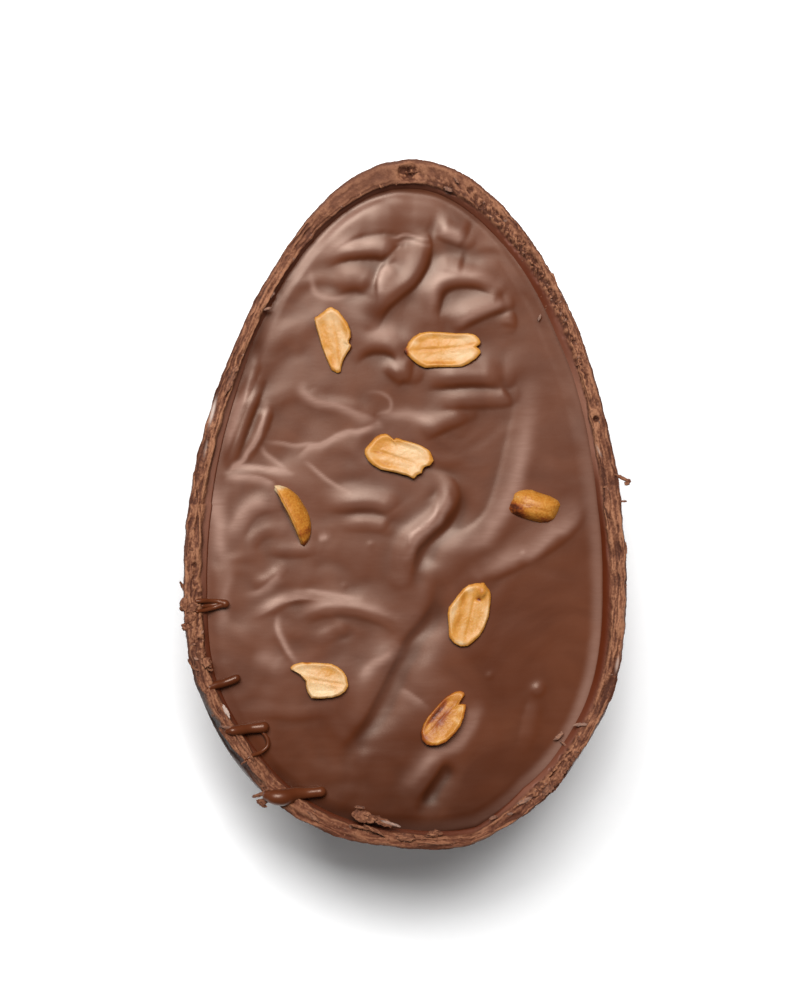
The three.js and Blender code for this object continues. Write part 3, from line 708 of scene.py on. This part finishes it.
# Each one's outline is followed anticlockwise in millimetres round its own middle, with its
# length along X, and it is then rolled, pitched and turned in degrees and put in its place.
KERNELS = {
    "peanut_1": dict(
        at=(-15.7, 35.6), turn=-80, roll=6, pitch=-3, stand=1.25, thick=3.2, crease=(0.8, 3),
        tone=0.24,
        tints=[
            (0, -1.5, 6, 1.4, 0.3), (5, -0.8, 2, 0.8, 0.2), (3, 0.6, 2, 0.35, 0.3),
            (-2.5, 3.2, 3, 0.8, 0.25), (-5, 0.3, 2, 1.2, -0.15), (2.4, -1.6, 1, 0.6, -0.25),
            (1.5, 2.8, 2, 0.9, -0.2)],
        outline=[
            (7.3, -0.3), (7.0, 0.4), (5.8, 0.8), (4.5, 1.5), (3.4, 2.4), (2.6, 3.2), (1.8, 3.7),
            (1.2, 3.3), (0.6, 3.4), (0.0, 3.9), (-1.5, 4.1), (-3.0, 3.8), (-4.5, 3.1),
            (-6.2, 2.2), (-7.2, 0.9), (-7.1, -0.1), (-6.4, -1.3), (-5.8, -2.4), (-5.6, -3.3),
            (-4.0, -3.2), (-2.0, -3.0), (1.0, -2.7), (4.0, -2.1), (6.3, -1.5)]),
    "peanut_2": dict(
        at=(8.3, 33.7), turn=1, roll=-2, pitch=1, stand=1.2, thick=3.4, crease=(0.2, 3),
        tone=0.31,
        tints=[
            (-3.5, 0.8, 3.5, 2.2, 0.25), (-1, -3.0, 3.5, 0.6, 0.45), (-8.2, -0.5, 0.8, 0.8, 0.9),
            (4, -1.2, 3, 1.2, -0.2), (5.5, 2.2, 2, 1, -0.2), (-6, 1.4, 0.8, 0.5, -0.3),
            (6.6, 1.0, 1.2, 0.2, 0.5)],
        outline=[
            (8.3, 1.1), (8.0, 2.1), (7.0, 3.1), (5.5, 3.4), (3.0, 3.4), (0, 3.7), (-3, 3.9),
            (-5, 3.6), (-6.5, 2.8), (-7.6, 1.5), (-7.9, 0.7), (-8.7, -0.3), (-7.9, -1.1),
            (-6.8, -2.2), (-5.3, -3.4), (-4, -4.0), (-1, -3.9), (2, -4.0), (4, -3.9), (5.6, -3.2),
            (7.1, -2.2), (8.2, -1), (8.1, -0.3), (7.6, 0.1), (7.2, 0.4), (7.9, 0.7)]),
    "peanut_3": dict(
        at=(-1.3, 10.5), turn=-15, roll=-3, pitch=2, stand=1.4, thick=3.3, crease=(-0.6, -4),
        tone=0.26,
        tints=[
            (-4.5, 1.5, 2.2, 2.5, 0.4), (-3, -2.6, 3, 0.7, 0.4), (-1, 3.1, 1.5, 0.5, 0.4),
            (3, 1, 3.5, 3, -0.15), (-5, -0.6, 1.5, 0.2, 0.4), (6.8, 1, 0.5, 1.2, 0.3)],
        outline=[
            (7.6, 0.8), (7.0, 1.8), (6.0, 2.8), (4.2, 3.3), (2, 3.5), (0, 3.5), (-1.5, 3.6),
            (-2.1, 3.1), (-2.8, 3.5), (-4, 3.9), (-5.2, 3.4), (-6.2, 2.3), (-6.8, 1.0),
            (-7.6, -0.6), (-7.3, -1.8), (-6.3, -2.8), (-5, -3.5), (-3, -4.0), (0, -3.8),
            (3, -3.8), (4.4, -4.1), (4.9, -3.1), (5.8, -2.4), (5.8, -1.5), (6.1, -0.8),
            (6.9, -0.6), (7.3, 0.1)]),
    "peanut_4": dict(
        at=(-25.6, -3.1), turn=-64, roll=78, pitch=0, stand=-0.6, thick=4.2, crease=(0, 0),
        tone=0.42,
        tints=[
            (-6.9, 0, 1.1, 9, -0.8), (4.5, 0, 0.7, 9, 0.25), (7, 0, 0.8, 9, 0.35)],
        outline=[
            (7.3, 0.5), (6.4, 2.4), (4.6, 3.6), (2, 4.1), (-1, 4.2), (-4, 3.8), (-6.3, 2.7),
            (-7.5, 1.2), (-7.7, -0.6), (-6.8, -2.4), (-4.8, -3.7), (-2, -4.1), (1.5, -4.1),
            (4.5, -3.5), (6.6, -2.0)]),
    "peanut_5": dict(
        at=(28.4, -0.7), turn=-15, roll=180, pitch=0, stand=-0.9, thick=3.6, crease=(0, 0),
        tone=0.40,
        tints=[
            (-4.2, 1.2, 1.6, 0.8, 0.7), (-3, 2.6, 2, 0.7, 0.6), (3.5, 2.4, 2, 0.8, 0.4),
            (-4.6, -1, 1, 0.8, -0.3), (1, -0.5, 3, 1, -0.15)],
        outline=[
            (5.4, -1.9), (4.6, -2.7), (2.5, -3.2), (0, -3.3), (-1.5, -3.5), (-3, -3.2),
            (-4.5, -2.5), (-5.3, -1.7), (-5.3, -0.5), (-5.6, 0.8), (-5.6, 2.0), (-4.8, 2.8),
            (-2.5, 3.2), (0, 3.3), (2, 3.2), (3.8, 2.7), (4.9, 1.6), (5.3, -0.3)][::-1]),
    "peanut_6": dict(
        at=(14.2, -24.3), turn=76, roll=5, pitch=0, stand=1.1, thick=3.4, crease=(-0.2, 2),
        tone=0.40,
        tints=[
            (-2, 2.2, 2.5, 0.8, 0.35), (3, 2.2, 1.5, 0.7, 0.4), (5.6, -1.2, 1.1, 0.9, 0.5),
            (3.7, -1.1, 0.35, 0.6, 1.0), (0, 3.7, 3, 0.7, -0.3), (-6.6, 0.5, 0.5, 1.5, -0.4),
            (1, -3.4, 4, 0.5, -0.2), (5.4, 1.8, 0.6, 0.8, -0.4)],
        outline=[
            (7.5, -1.3), (7.0, 0.5), (6.3, 1.8), (5.2, 2.8), (3.5, 3.6), (2, 4.2), (0.5, 4.9),
            (-1, 4.8), (-2.5, 4.3), (-4, 3.8), (-5.8, 3.3), (-6.8, 2.0), (-7.2, 0.3),
            (-6.8, -1.2), (-5.5, -2.2), (-4, -3.2), (-2, -3.8), (0.5, -4.1), (3, -3.8), (5, -3.5),
            (6.3, -2.9), (6.7, -2.2)]),
    "peanut_7": dict(
        at=(-18.0, -38.6), turn=-6, roll=-2, pitch=1, stand=1.2, thick=3.2, crease=(-0.2, -3),
        tone=0.14,
        tints=[
            (1, 2, 3, 1.4, 0.3), (-3.8, 3.5, 0.8, 0.4, 0.6), (0, -2.6, 3, 1.4, -0.15),
            (3, -0.8, 1.5, 1.5, 0.12)],
        outline=[
            (5.7, -0.6), (5.2, 1.2), (4.3, 2.4), (3.0, 3.3), (1.5, 3.8), (-1, 3.7), (-3, 3.6),
            (-5, 3.4), (-6.6, 2.8), (-7.6, 1.8), (-6.2, 1.3), (-5.2, 0.8), (-4.4, 0.1),
            (-3.6, -0.6), (-3.5, -1.6), (-2.9, -3.0), (-2.0, -4.1), (0, -4.0), (2.5, -3.5),
            (4.0, -2.9), (5.2, -1.9)]),
    "peanut_8": dict(
        at=(8.2, -47.0), turn=54, roll=-14, pitch=-2, stand=1.1, thick=3.6, crease=(0.2, -6),
        tone=0.67,
        tints=[
            (0, 1.9, 5, 0.55, 0.6), (2, 1.4, 1.8, 0.3, 0.3), (-0.5, 0, 3.5, 1.1, 0.35),
            (1.5, -2.8, 0.6, 1, -0.45), (4, -1.9, 0.9, 0.6, -0.5), (-5.6, 0.6, 0.7, 1.2, 0.3),
            (-4.6, -2.2, 0.8, 0.4, -0.4), (-3, 1.6, 0.8, 0.25, -0.5)],
        outline=[
            (7.5, -0.3), (7.2, 0.7), (6.0, 1.6), (4.5, 2.3), (2.5, 2.6), (0.5, 2.8), (-1.5, 3.0),
            (-3.5, 2.8), (-5.3, 2.2), (-6.4, 1.0), (-6.6, -0.3), (-6.2, -1.4), (-5.2, -2.6),
            (-3.5, -3.6), (-1, -4.1), (1, -4.1), (3, -3.6), (4.6, -2.9), (5.5, -2.3), (5.2, -1.5),
            (4.4, -1.1), (5.6, -0.9), (7.0, -0.9)]),
}

# Dry-roasted peanut. The split face is cream to straw with a browner middle and edge, and the
# back is deeper gold to orange where it took the heat, with fine pores about 0.3 mm across.
roasted_peanut = new_material("dry_roasted_peanut")
place = add(roasted_peanut, "TexCoord").outputs["Object"]
face_share, edge_share, toast_share = (
    add(roasted_peanut, "Attribute", {"attribute_name": name}).outputs["Fac"]
    for name in ("face", "edge", "toast"))
patches = add(roasted_peanut, "TexNoise", {"Scale": 1 / (2.2 * MM), "Detail": 4.0},
              {"Vector": place})
pores = add(roasted_peanut, "TexNoise",
            {"Scale": 1 / (0.45 * MM), "Detail": 4.0, "Roughness": 0.6}, {"Vector": place})
pore_share = add(roasted_peanut, "MapRange", {"To Min": 0.9, "To Max": 0.25},
                 {"Value": face_share})
speckle = add(roasted_peanut, "Math", {"operation": "MULTIPLY"},
              {0: pores.outputs["Fac"], 1: pore_share.outputs[0]})
edged = add(roasted_peanut, "Math", {"operation": "MULTIPLY_ADD", 1: 0.08},
            {0: edge_share, 2: speckle.outputs[0]})
roast = add(roasted_peanut, "Math", {"operation": "MULTIPLY_ADD", 1: 0.4},
            {0: patches.outputs["Fac"], 2: edged.outputs[0]})
roasted = add(roasted_peanut, "Math", {"operation": "ADD"}, {0: roast.outputs[0], 1: toast_share})
spread = add(roasted_peanut, "MapRange", {"From Min": 0.25, "From Max": 1.65},
             {"Value": roasted.outputs[0]})
nut_tone = add(roasted_peanut, "ValToRGB", links={"Fac": spread.outputs[0]},
               stops=((0.0, "#cbb189"), (1.0, "#4a1e08"), (0.2, "#c09768"), (0.4, "#b67e38"),
                      (0.6, "#a5681f"), (0.8, "#833f12")))
pore_bump = add(roasted_peanut, "Bump", {"Strength": 0.35, "Distance": 0.12 * MM},
                {"Height": pores.outputs["Fac"]})
shader = add(roasted_peanut, "BsdfPrincipled",
             {"IOR": 1.47, "Roughness": 0.48, "Subsurface Weight": 0.12,
              "Subsurface Radius": (1.0, 0.5, 0.25), "Subsurface Scale": 1.2 * MM},
             {"Base Color": nut_tone.outputs["Color"], "Normal": pore_bump.outputs["Normal"]})
add(roasted_peanut, "OutputMaterial", links={"Surface": shader.outputs["BSDF"]})

for order, (node, k) in enumerate(KERNELS.items()):
    deselect()
    bpy.ops.mesh.primitive_uv_sphere_add(segments=112, ring_count=56, radius=1)
    kernel = bpy.context.object
    kernel.name = f"split_{node}"
    co = points_of(kernel)
    tip = np.degrees(np.arctan2(co[:, 1], co[:, 0]))
    from_top = np.arccos(np.clip(co[:, 2], -1, 1)) / (math.pi / 2)
    ring = []
    corners = k["outline"]
    for a, b in zip(corners, corners[1:] + corners[:1]):
        for s in np.linspace(0, 1, 10, endpoint=False):
            ring.append((a[0] + (b[0] - a[0]) * s, a[1] + (b[1] - a[1]) * s))
    ring = np.array(ring)
    ring_angle = np.degrees(np.arctan2(ring[:, 1], ring[:, 0]))
    by_angle = np.argsort(ring_angle)
    reach = np.interp(tip, ring_angle[by_angle], np.hypot(*ring[by_angle].T), period=360)
    on_face = from_top <= 1
    share = np.where(on_face, from_top, np.sin(from_top * math.pi / 2))
    rolled = np.where(on_face, share ** 0.9, share)
    jag = 1 + 0.012 * noise_at(co[:, 0] * 6, co[:, 1] * 6, co[:, 2] * 6, 3, order * 7.0)
    lx = reach * rolled * np.cos(np.radians(tip)) * jag
    ly = reach * rolled * np.sin(np.radians(tip)) * jag
    rest, lean = k["crease"]
    off_crease = ly - rest - lx * math.tan(math.radians(lean))
    crease = np.exp(-((off_crease / 0.35) ** 2)) * (1 - share ** 3)
    dish = (0.45 * (1 - smooth(0.55, 0.95, share))
            * (1 - 0.25 * np.exp(-((off_crease / 1.4) ** 2))))
    top = 0.25 - 0.45 * smooth(0.86, 1.0, share) - dish - 0.15 * crease
    top = (top + 0.10 * noise_at(lx / 2.2, ly / 1.4, order, 3, 5.0)
           + 0.03 * noise_at(lx / 0.5, ly / 0.5, 0, 2, 8.0))
    back = -k["thick"] * np.clip(1 - share ** 2.3, 0, 1) ** 0.6 - 0.2
    back = back + 0.12 * noise_at(lx / 3.0, ly / 0.8, order, 3, 2.0) * (1 - share ** 4)
    lz = np.where(on_face, top, back)
    if node == "peanut_6":                   # its germ still stands at one end, beside a pit
        nub = np.exp(-((((lx - 5.4) / 1.25) ** 2 + ((ly + 1.3) / 1.0) ** 2) ** 1.6))
        pit = np.exp(-((((lx - 3.7) / 0.55) ** 2 + ((ly + 0.9) / 0.7) ** 2)))
        lz = np.where(on_face, lz + 0.9 * nub - 0.5 * pit, lz)
    turned = (Matrix.Rotation(math.radians(k["turn"]), 3, "Z")
              @ Matrix.Rotation(-math.radians(k["pitch"]), 3, "Y")
              @ Matrix.Rotation(math.radians(k["roll"]), 3, "X"))
    placed = np.stack([lx, ly, lz], 1) @ np.array(turned).T
    put_points(kernel, placed[:, 0] + k["at"][0], placed[:, 1] + k["at"][1],
               placed[:, 2] + RIM_LEVEL - FILL_DROP + k["stand"])
    paint(kernel, "face", np.where(on_face, 1 - smooth(0.9, 1.0, share), 0))
    paint(kernel, "edge", smooth(0.86, 0.99, share) * on_face)
    toast = k["tone"] + 0.12 * np.exp(-((off_crease / 0.5) ** 2)) * (1 - share ** 3)
    for tx, ty, wide, tall, strength in k["tints"]:
        toast = toast + strength * np.exp(-(((lx - tx) / wide) ** 2 + ((ly - ty) / tall) ** 2))
    paint(kernel, "toast", toast)
    bpy.ops.object.shade_smooth()
    kernel.data.materials.append(roasted_peanut)
    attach(kernel, "root")
    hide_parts(node)

# ---------------------------------------------------------------------------------------------
# The drips. Strands of the same milk chocolate that ran from the spoon over the rim on the left
# and lie on the pour, round at their ends. Each is a curve with its own thickness along it.

# Each drip is its points: place, height over the rim and thickness, in millimetres.
DRIPS = {
    "drip_1": [(-45.4, -21.3, 0.2, 0.8), (-44.2, -21.2, -0.1, 1.0), (-42.6, -21.2, -1.3, 1.0),
               (-40.9, -21.4, -1.9, 1.2), (-39.3, -21.9, -1.9, 1.9)],
    "drip_1b": [(-45.2, -23.5, 0.0, 0.8), (-43.4, -23.2, -1.1, 0.9), (-41.6, -22.7, -1.9, 1.1),
                (-39.8, -22.1, -1.9, 1.4)],
    "drip_1_web": [(-44.2, -22.3, -1.5, 1.2), (-42.4, -22.2, -2.1, 1.2),
                   (-40.6, -22.0, -2.2, 1.2)],
    "drip_2": [(-42.6, -40.1, -0.4, 1.5), (-41.2, -39.6, -1.0, 1.8), (-39.3, -39.1, -1.6, 1.8),
               (-37.6, -38.5, -1.8, 1.9), (-36.9, -38.2, -1.8, 1.9)],
    "drip_3": [(-38.6, -49.7, 0.3, 1.2), (-37.4, -49.5, 0.3, 2.0), (-35.8, -49.3, -0.5, 2.2),
               (-33.8, -49.1, -1.5, 2.1), (-31.6, -48.9, -1.7, 2.4), (-30.9, -48.8, -1.8, 2.5)],
    "drip_3_loop": [(-31.0, -50.0, -1.9, 0.8), (-30.1, -51.3, -1.9, 0.9),
                    (-30.0, -52.9, -1.8, 0.9),
                    (-31.4, -54.2, -1.4, 0.9), (-33.3, -54.9, 0.0, 0.8), (-34.3, -55.6, 0.4, 0.5),
                    (-34.9, -56.1, 0.3, 0.3)],
    "drip_4": [(-30.0, -63.6, 0.2, 2.2), (-28.2, -63.9, 0.6, 3.4), (-26.2, -63.9, 0.3, 3.7),
               (-24.0, -63.3, -0.8, 2.9), (-21.6, -63.2, -1.5, 2.4), (-19.4, -63.0, -1.6, 2.2),
               (-18.4, -62.9, -1.7, 2.4)],
}
for name, places in DRIPS.items():
    deselect()
    line = curve_through(places, 6)
    ends = [(line[0], line[1]), (line[-1], line[-2])]
    bpy.ops.curve.primitive_nurbs_path_add()
    drip = bpy.context.object
    drip.name = name
    drip.data.splines.clear()
    caps = []
    for (end, inward) in ends:
        away = (end[:3] - inward[:3]) / np.linalg.norm(end[:3] - inward[:3])
        caps.append([(end[:3] + away * end[3] / 2 * math.sin(a), end[3] * math.cos(a))
                     for a in (0.45, 0.85, 1.2, 1.45, 1.56)])
    whole = [*caps[0][::-1], *[(q[:3], q[3]) for q in line], *caps[1]]
    spline = drip.data.splines.new("POLY")
    spline.points.add(len(whole) - 1)
    for point, (q, wide) in zip(spline.points, whole):
        point.co = (q[0] * MM, q[1] * MM, (RIM_LEVEL + q[2]) * MM, 1)
        point.radius = max(wide, 0.02) / 2
    drip.data.dimensions = "3D"
    drip.data.bevel_depth = MM
    drip.data.bevel_resolution = 8
    drip.data.use_fill_caps = True
    deselect()
    drip.select_set(True)
    bpy.context.view_layer.objects.active = drip
    bpy.ops.object.convert(target="MESH")
    drip = bpy.context.object
    bpy.ops.object.mode_set(mode="EDIT")
    bpy.ops.mesh.select_all(action="SELECT")
    bpy.ops.mesh.remove_doubles(threshold=0.00001)
    bpy.ops.mesh.normals_make_consistent(inside=False)
    bpy.ops.object.mode_set(mode="OBJECT")
    co = points_of(drip) / MM
    swell = 0.05 * noise_at(co[:, 0] / 1.5, co[:, 1] / 1.5, co[:, 2] / 1.5, 2, 1.0)
    put_points(drip, co[:, 0] + swell, co[:, 1] + swell, co[:, 2])
    bpy.ops.object.shade_smooth()
    drip.data.materials.append(poured_chocolate)
    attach(drip, "root")

# ---------------------------------------------------------------------------------------------
# The loose bits. Breaking the egg left flakes, curled shavings and burrs on its rim, and crumbs
# in the rough belt. Each is a ball that is flattened, bent and made ragged, and they are joined.

# Each flake is its place, height over the rim, length, width and thickness in millimetres, turn
# and tilt in degrees, how tightly it curls and how pale it is, partly pale chocolate and partly a
# painted highlight.
FLAKES = [
    (-44.4, -32.6, -0.1, 2.8, 1.9, 1.5, -70, 6, 0.0, 0),
    (-43.3, -34.6, 0.0, 2.9, 2.3, 1.6, -48, -6, 0.0, 0),
    (-42.6, -36.0, -0.6, 1.8, 0.9, 0.9, -30, 0, 0.0, 0),
    (-48.4, -18.2, -0.6, 3.2, 0.7, 0.5, -66, 8, 0.5, 0),
    (-48.1, -22.0, -0.5, 3.0, 2.0, 1.6, 80, 0, 0, 0),
    (-46.9, -25.0, 0.0, 2.6, 2.2, 1.3, 30, 0, 0, 0),
    (-47.6, -27.0, -0.3, 2.4, 1.7, 1.2, -20, 0, 0, 0),
    (-46.2, -22.6, 0.1, 2.8, 1.8, 1.0, 50, 5, 0, 0),
    (-46.7, -34.9, -0.5, 2.6, 0.6, 0.5, -60, 10, 0.3, 0),
    (44.2, 0.0, 0.1, 6.5, 1.4, 0.6, 96, 2, 0, 0),
    (47.2, 5.6, -0.7, 3.8, 0.8, 0.6, -25, 0, 0.2, 0),
    (48.5, 4.6, -0.8, 1.7, 1.1, 0.8, 50, 0, 0, 0),
    (47.7, 0.5, -0.6, 1.3, 0.5, 0.5, 0, 0, 0, 0),
    (48.0, -10.0, -0.7, 3.2, 0.8, 0.9, 90, 0, 0, 0),
    (47.9, -18.0, -0.7, 2.6, 0.8, 0.9, 88, 0, 0, 0),
    (33.0, -60.0, 0.0, 4.0, 2.2, 1.4, 48, 0, 0, 0),
    (34.9, -57.5, 0.0, 3.0, 1.6, 1.1, 55, 0, 0, 0),
    (31.2, -62.3, 0.0, 3.0, 1.5, 1.1, 42, 0, 0, 0.1),
    (38.2, -48.2, -0.7, 3.2, 0.7, 0.6, 5, 0, 0.3, 0.6),
    (33.6, -50.8, -1.9, 2.6, 0.9, 0.4, 40, 0, 0, 0.3),
    (34.6, -52.4, -1.9, 2.0, 0.5, 0.4, -45, 0, 0, 0.2),
    (26.0, -64.8, -0.3, 3.4, 0.9, 0.6, 25, 0, 0, 0.4),
    (19.2, -68.4, -0.4, 2.2, 0.7, 0.5, 20, 0, 0.9, 0.2),
    (22.9, -67.6, -0.3, 1.3, 0.6, 0.4, 10, 0, 0, 0.4),
    (-9.9, -66.2, -0.6, 3.0, 0.7, 0.8, -6, 0, 0.8, 0.1),
    (-8.8, -68.2, -0.2, 5.4, 2.4, 1.5, -14, -5, 0.15, 0),
    (-5.6, -69.0, 0.1, 6.4, 1.7, 1.3, -22, 5, 0.1, 0),
    (-3.2, -69.6, 0.4, 4.6, 0.6, 0.6, -18, 6, 0.1, 1.0),
    (-6.8, -71.0, 0.4, 5.2, 0.8, 0.9, -26, 0, 0.2, 0),
    (-9.8, -70.4, 0.3, 4.2, 0.7, 0.8, -14, 0, 0.1, 0),
    (0.3, -72.7, 0.2, 4.2, 1.8, 1.1, -4, 0, 0.0, 0),
    (6.3, -71.9, 0.2, 3.6, 1.6, 1.2, 12, 0, 0.0, 0),
    (-31.8, -63.5, -0.9, 3.2, 0.8, 0.8, 18, 0, 0, 0),
    (-31.3, -65.5, -1.1, 2.6, 0.9, 0.8, -35, 0, 0, 0),
    (-30.2, -64.4, -0.6, 2.8, 1.5, 1.2, 60, 0, 0, 0),
    (-30.6, -62.9, -0.4, 2.6, 0.9, 0.8, 35, 0, 0, 0),
    (-30.9, -64.9, -0.7, 2.2, 0.9, 0.8, -15, 0, 0, 0),
    (-38.7, -48.7, 0.3, 3.0, 0.6, 0.7, -8, 0, 0, 0.3),
    (-38.3, -49.8, 0.3, 2.6, 0.6, 0.7, -4, 0, 0, 0),
    (-34.9, -56.2, 0.3, 1.8, 0.5, 0.5, 35, 0, 0, 0),
    (-29.0, 45.4, 0.1, 1.7, 0.8, 0.6, 50, 0, 0, 0.4),
    (-29.9, 42.4, 0.1, 1.8, 0.6, 0.5, 20, 0, 0, 0.4),
    (-37.9, 26.6, 0.1, 5.4, 1.2, 0.7, 68, 2, 0, 0.1),
    (-37.0, 29.0, 0.2, 2.4, 1.2, 0.7, 55, 0, 0, 0.1),
    (-42.3, 15.0, 0.1, 2.6, 1.3, 0.8, 75, 0, 0, 0),
    (29.4, 40.6, -1.9, 1.5, 0.5, 0.3, 70, 0, 0, 0.5),
    (-37.6, -52.3, 0.2, 8.5, 1.0, 0.8, -52, 0, 0.03, 0),
    (-34.7, -53.3, 0.2, 7.0, 0.9, 0.8, -56, 0, 0.05, 0),
    (-32.9, -57.8, 0.2, 5.5, 1.1, 0.8, -54, 0, 0, 0),
    (-39.6, -47.4, 0.1, 5.0, 1.0, 0.8, -62, 0, 0, 0),
    (-44.2, -39.5, 0.1, 4.5, 1.2, 0.8, -62, 0, 0, 0),
    (-38.9, -45.2, 0.2, 3.0, 0.8, 0.6, -62, 0, 0, 2.2),
    (9.4, 68.4, -0.1, 1.9, 1.0, 0.8, -30, 0, 0, 0.3),
    (11.2, 70.3, 0.1, 1.6, 0.5, 0.4, -50, 0, 0, 0.2),
    (-20.0, -68.2, 0.1, 4.0, 0.9, 0.7, -38, 0, 0, 0.1),
]

# Crumbs are strewn by headings in degrees, rows across the rim (0 is its outer edge, 16 its inner
# edge and 27 the foot of its slope), how many, and their least and greatest size in millimetres.
CRUMBS = [
    (24, 66, 8, 17, 110, 0.25, 0.75), (62, 100, 4, 17, 24, 0.2, 0.5),
    (-62, -44, 2, 17, 45, 0.3, 0.8), (-125, -75, 3, 17, 50, 0.25, 0.7),
    (-165, -140, 3, 16, 40, 0.25, 0.8), (-140, -122, 2, 16, 35, 0.25, 0.7),
    (130, 195, 6, 16, 30, 0.2, 0.5), (25, 60, 18, 26, 8, 0.2, 0.4),
    (-20, 20, 6, 16, 20, 0.2, 0.5),
]


def ragged_ball(detail, size, seed, curl=0.0):
    """Adds a ball and makes it a ragged chip of a size, and gives it with its points."""
    deselect()
    bpy.ops.mesh.primitive_ico_sphere_add(subdivisions=detail, radius=1)
    chip = bpy.context.object
    a, b, c = points_of(chip).T
    uneven = noise_at(a * 1.7, b * 1.7, c * 1.7, 4, seed)
    torn = noise_at(a * 3.5, b * 2.0, 0.4 * c, 3, seed + 5)
    lx = size[0] / 2 * a * (1 + 0.3 * uneven)
    ly = size[1] / 2 * b * (1 + 0.45 * torn)
    lz = size[2] / 2 * np.sign(c) * np.abs(c) ** 0.6 * (1 + 0.35 * uneven)
    if curl:
        lx, lz = np.sin(curl * lx) / curl, lz + (1 - np.cos(curl * lx)) / curl
    paint(chip, "broken", np.ones(len(a)))
    # Each chip's top is painted lighter, a painted highlight, with random patches of wear.
    paint(chip, "wear_and_shading", np.clip(0.3 + 0.3 * c + 0.5 * uneven, 0, 1))
    return chip, lx, ly, lz


def join_all(pieces, name):
    """Joins chips into one piece of broken chocolate."""
    deselect()
    for piece in pieces:
        piece.select_set(True)
    bpy.context.view_layer.objects.active = pieces[0]
    bpy.ops.object.join()
    joined = bpy.context.object
    joined.name = name
    bpy.ops.object.shade_smooth_by_angle(angle=math.radians(40))
    joined.data.materials.append(cast_chocolate)
    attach(joined, "root")


chips = []
for order, (px, py, up, long, wide, thick, turn, tilt, curl, pale_and_highlight_share) in enumerate(FLAKES):
    chip, lx, ly, lz = ragged_ball(4, (long, wide, thick), 20.0 + order, curl)
    facing = (Matrix.Rotation(math.radians(turn), 3, "Z")
              @ Matrix.Rotation(math.radians(tilt), 3, "Y"))
    wx, wy, wz = np.array(facing) @ np.stack([lx, ly, lz])
    put_points(chip, wx + px, wy + py, wz + up + RIM_LEVEL)
    paint(chip, "pale_and_highlight", np.full(len(lx), 0.35 * pale_and_highlight_share))
    chips.append(chip)
join_all(chips, "rim_flakes")

draw = random.Random(7)
chips = []
for first, last, inner, outer, count, least, most in CRUMBS:
    columns = np.flatnonzero((np.mod(rim_degrees - first, 360) <= last - first))
    for _ in range(count):
        spot = rim_places[draw.randint(inner, outer), draw.choice(columns)]
        size = least + (most - least) * draw.random() ** 2
        shape = (size * 1.6, size * 0.9, size * 0.7)
        chip, lx, ly, lz = ragged_ball(1, shape, draw.uniform(60, 200))
        facing = Matrix.Rotation(draw.uniform(0, 2 * math.pi), 3, "Z")
        wx, wy, wz = np.array(facing) @ np.stack([lx, ly, lz])
        put_points(chip, wx + spot[0], wy + spot[1], wz + spot[2] + 0.12 * size)
        paint(chip, "pale_and_highlight", np.full(len(lx), max(0.0, draw.uniform(-0.5, 0.15))))
        chips.append(chip)
join_all(chips, "rim_crumbs")

# ---------------------------------------------------------------------------------------------
# The table that it lies on, the soft light and the camera straight above it.

deselect()
bpy.ops.mesh.primitive_plane_add(size=6)
table_top = bpy.context.object
table_top.name = "table_top"
white_paper = new_material("white_paper")
place = add(white_paper, "TexCoord").outputs["Object"]
fibres = add(white_paper, "TexNoise", {"Scale": 1 / (3 * MM)}, {"Vector": place})
paper_tone = add(white_paper, "MapRange", {"To Min": 0.93, "To Max": 0.95},
                 {"Value": fibres.outputs["Fac"]})
shader = add(white_paper, "BsdfPrincipled", {"Roughness": 0.9},
             {"Base Color": paper_tone.outputs[0]})
add(white_paper, "OutputMaterial", links={"Surface": shader.outputs["BSDF"]})
table_top.data.materials.append(white_paper)

world = bpy.data.worlds.new("soft_room")
bpy.context.scene.world = world
world.use_nodes = True
world.node_tree.nodes["Background"].inputs["Color"].default_value = (1, 1, 1, 1)
world.node_tree.nodes["Background"].inputs["Strength"].default_value = 0.2
world.cycles_visibility.glossy = False       # so that dark chocolate stays deep beside the sheen


def softbox(name, azimuth, zenith, distance, size, power):
    """A soft light that looks at the egg, azimuth clockwise from the narrow end."""
    a, t = math.radians(azimuth), math.radians(zenith)
    out = Vector((math.sin(a) * math.sin(t), math.cos(a) * math.sin(t), math.cos(t)))
    lamp = bpy.data.lights.new(name, "AREA")
    lamp.shape = "RECTANGLE"
    lamp.size, lamp.size_y = size
    lamp.energy = power
    holder = bpy.data.objects.new(name, lamp)
    bpy.context.scene.collection.objects.link(holder)
    holder.location = out * distance
    holder.rotation_euler = out.to_track_quat("Z", "Y").to_euler()
    return holder


softbox("key_light", -24, 29, 1.0, (0.4, 0.4), 7.2)
top_light = softbox("top_light", 17, 19, 1.0, (0.34, 0.34), 8.5)
top_light.visible_glossy = False             # it gives shadows without a second sheen
sheen_light = softbox("sheen_light", -28, 22, 1.0, (0.3, 0.3), 3.3)
sheen_light.visible_diffuse = False          # it widens the sheen without lighting the table

camera = bpy.data.objects.new("camera", bpy.data.cameras.new("camera"))
bpy.context.scene.collection.objects.link(camera)
bpy.context.scene.camera = camera
camera.data.lens = 100
camera.data.sensor_width = 36
VIEW_LENGTH = 217.7                          # what the view's long side spans at the rim
OFF_CENTRE = (-1.0885, 0.762)                # where the view's middle lies on the egg
height = VIEW_LENGTH / 2 * camera.data.lens / (camera.data.sensor_width / 2)
camera.location = (OFF_CENTRE[0] * MM, OFF_CENTRE[1] * MM, (RIM_LEVEL + height) * MM)
camera.rotation_euler = (0, 0, 0)
camera.data.dof.use_dof = False
bpy.context.scene.view_settings.view_transform = "Standard"
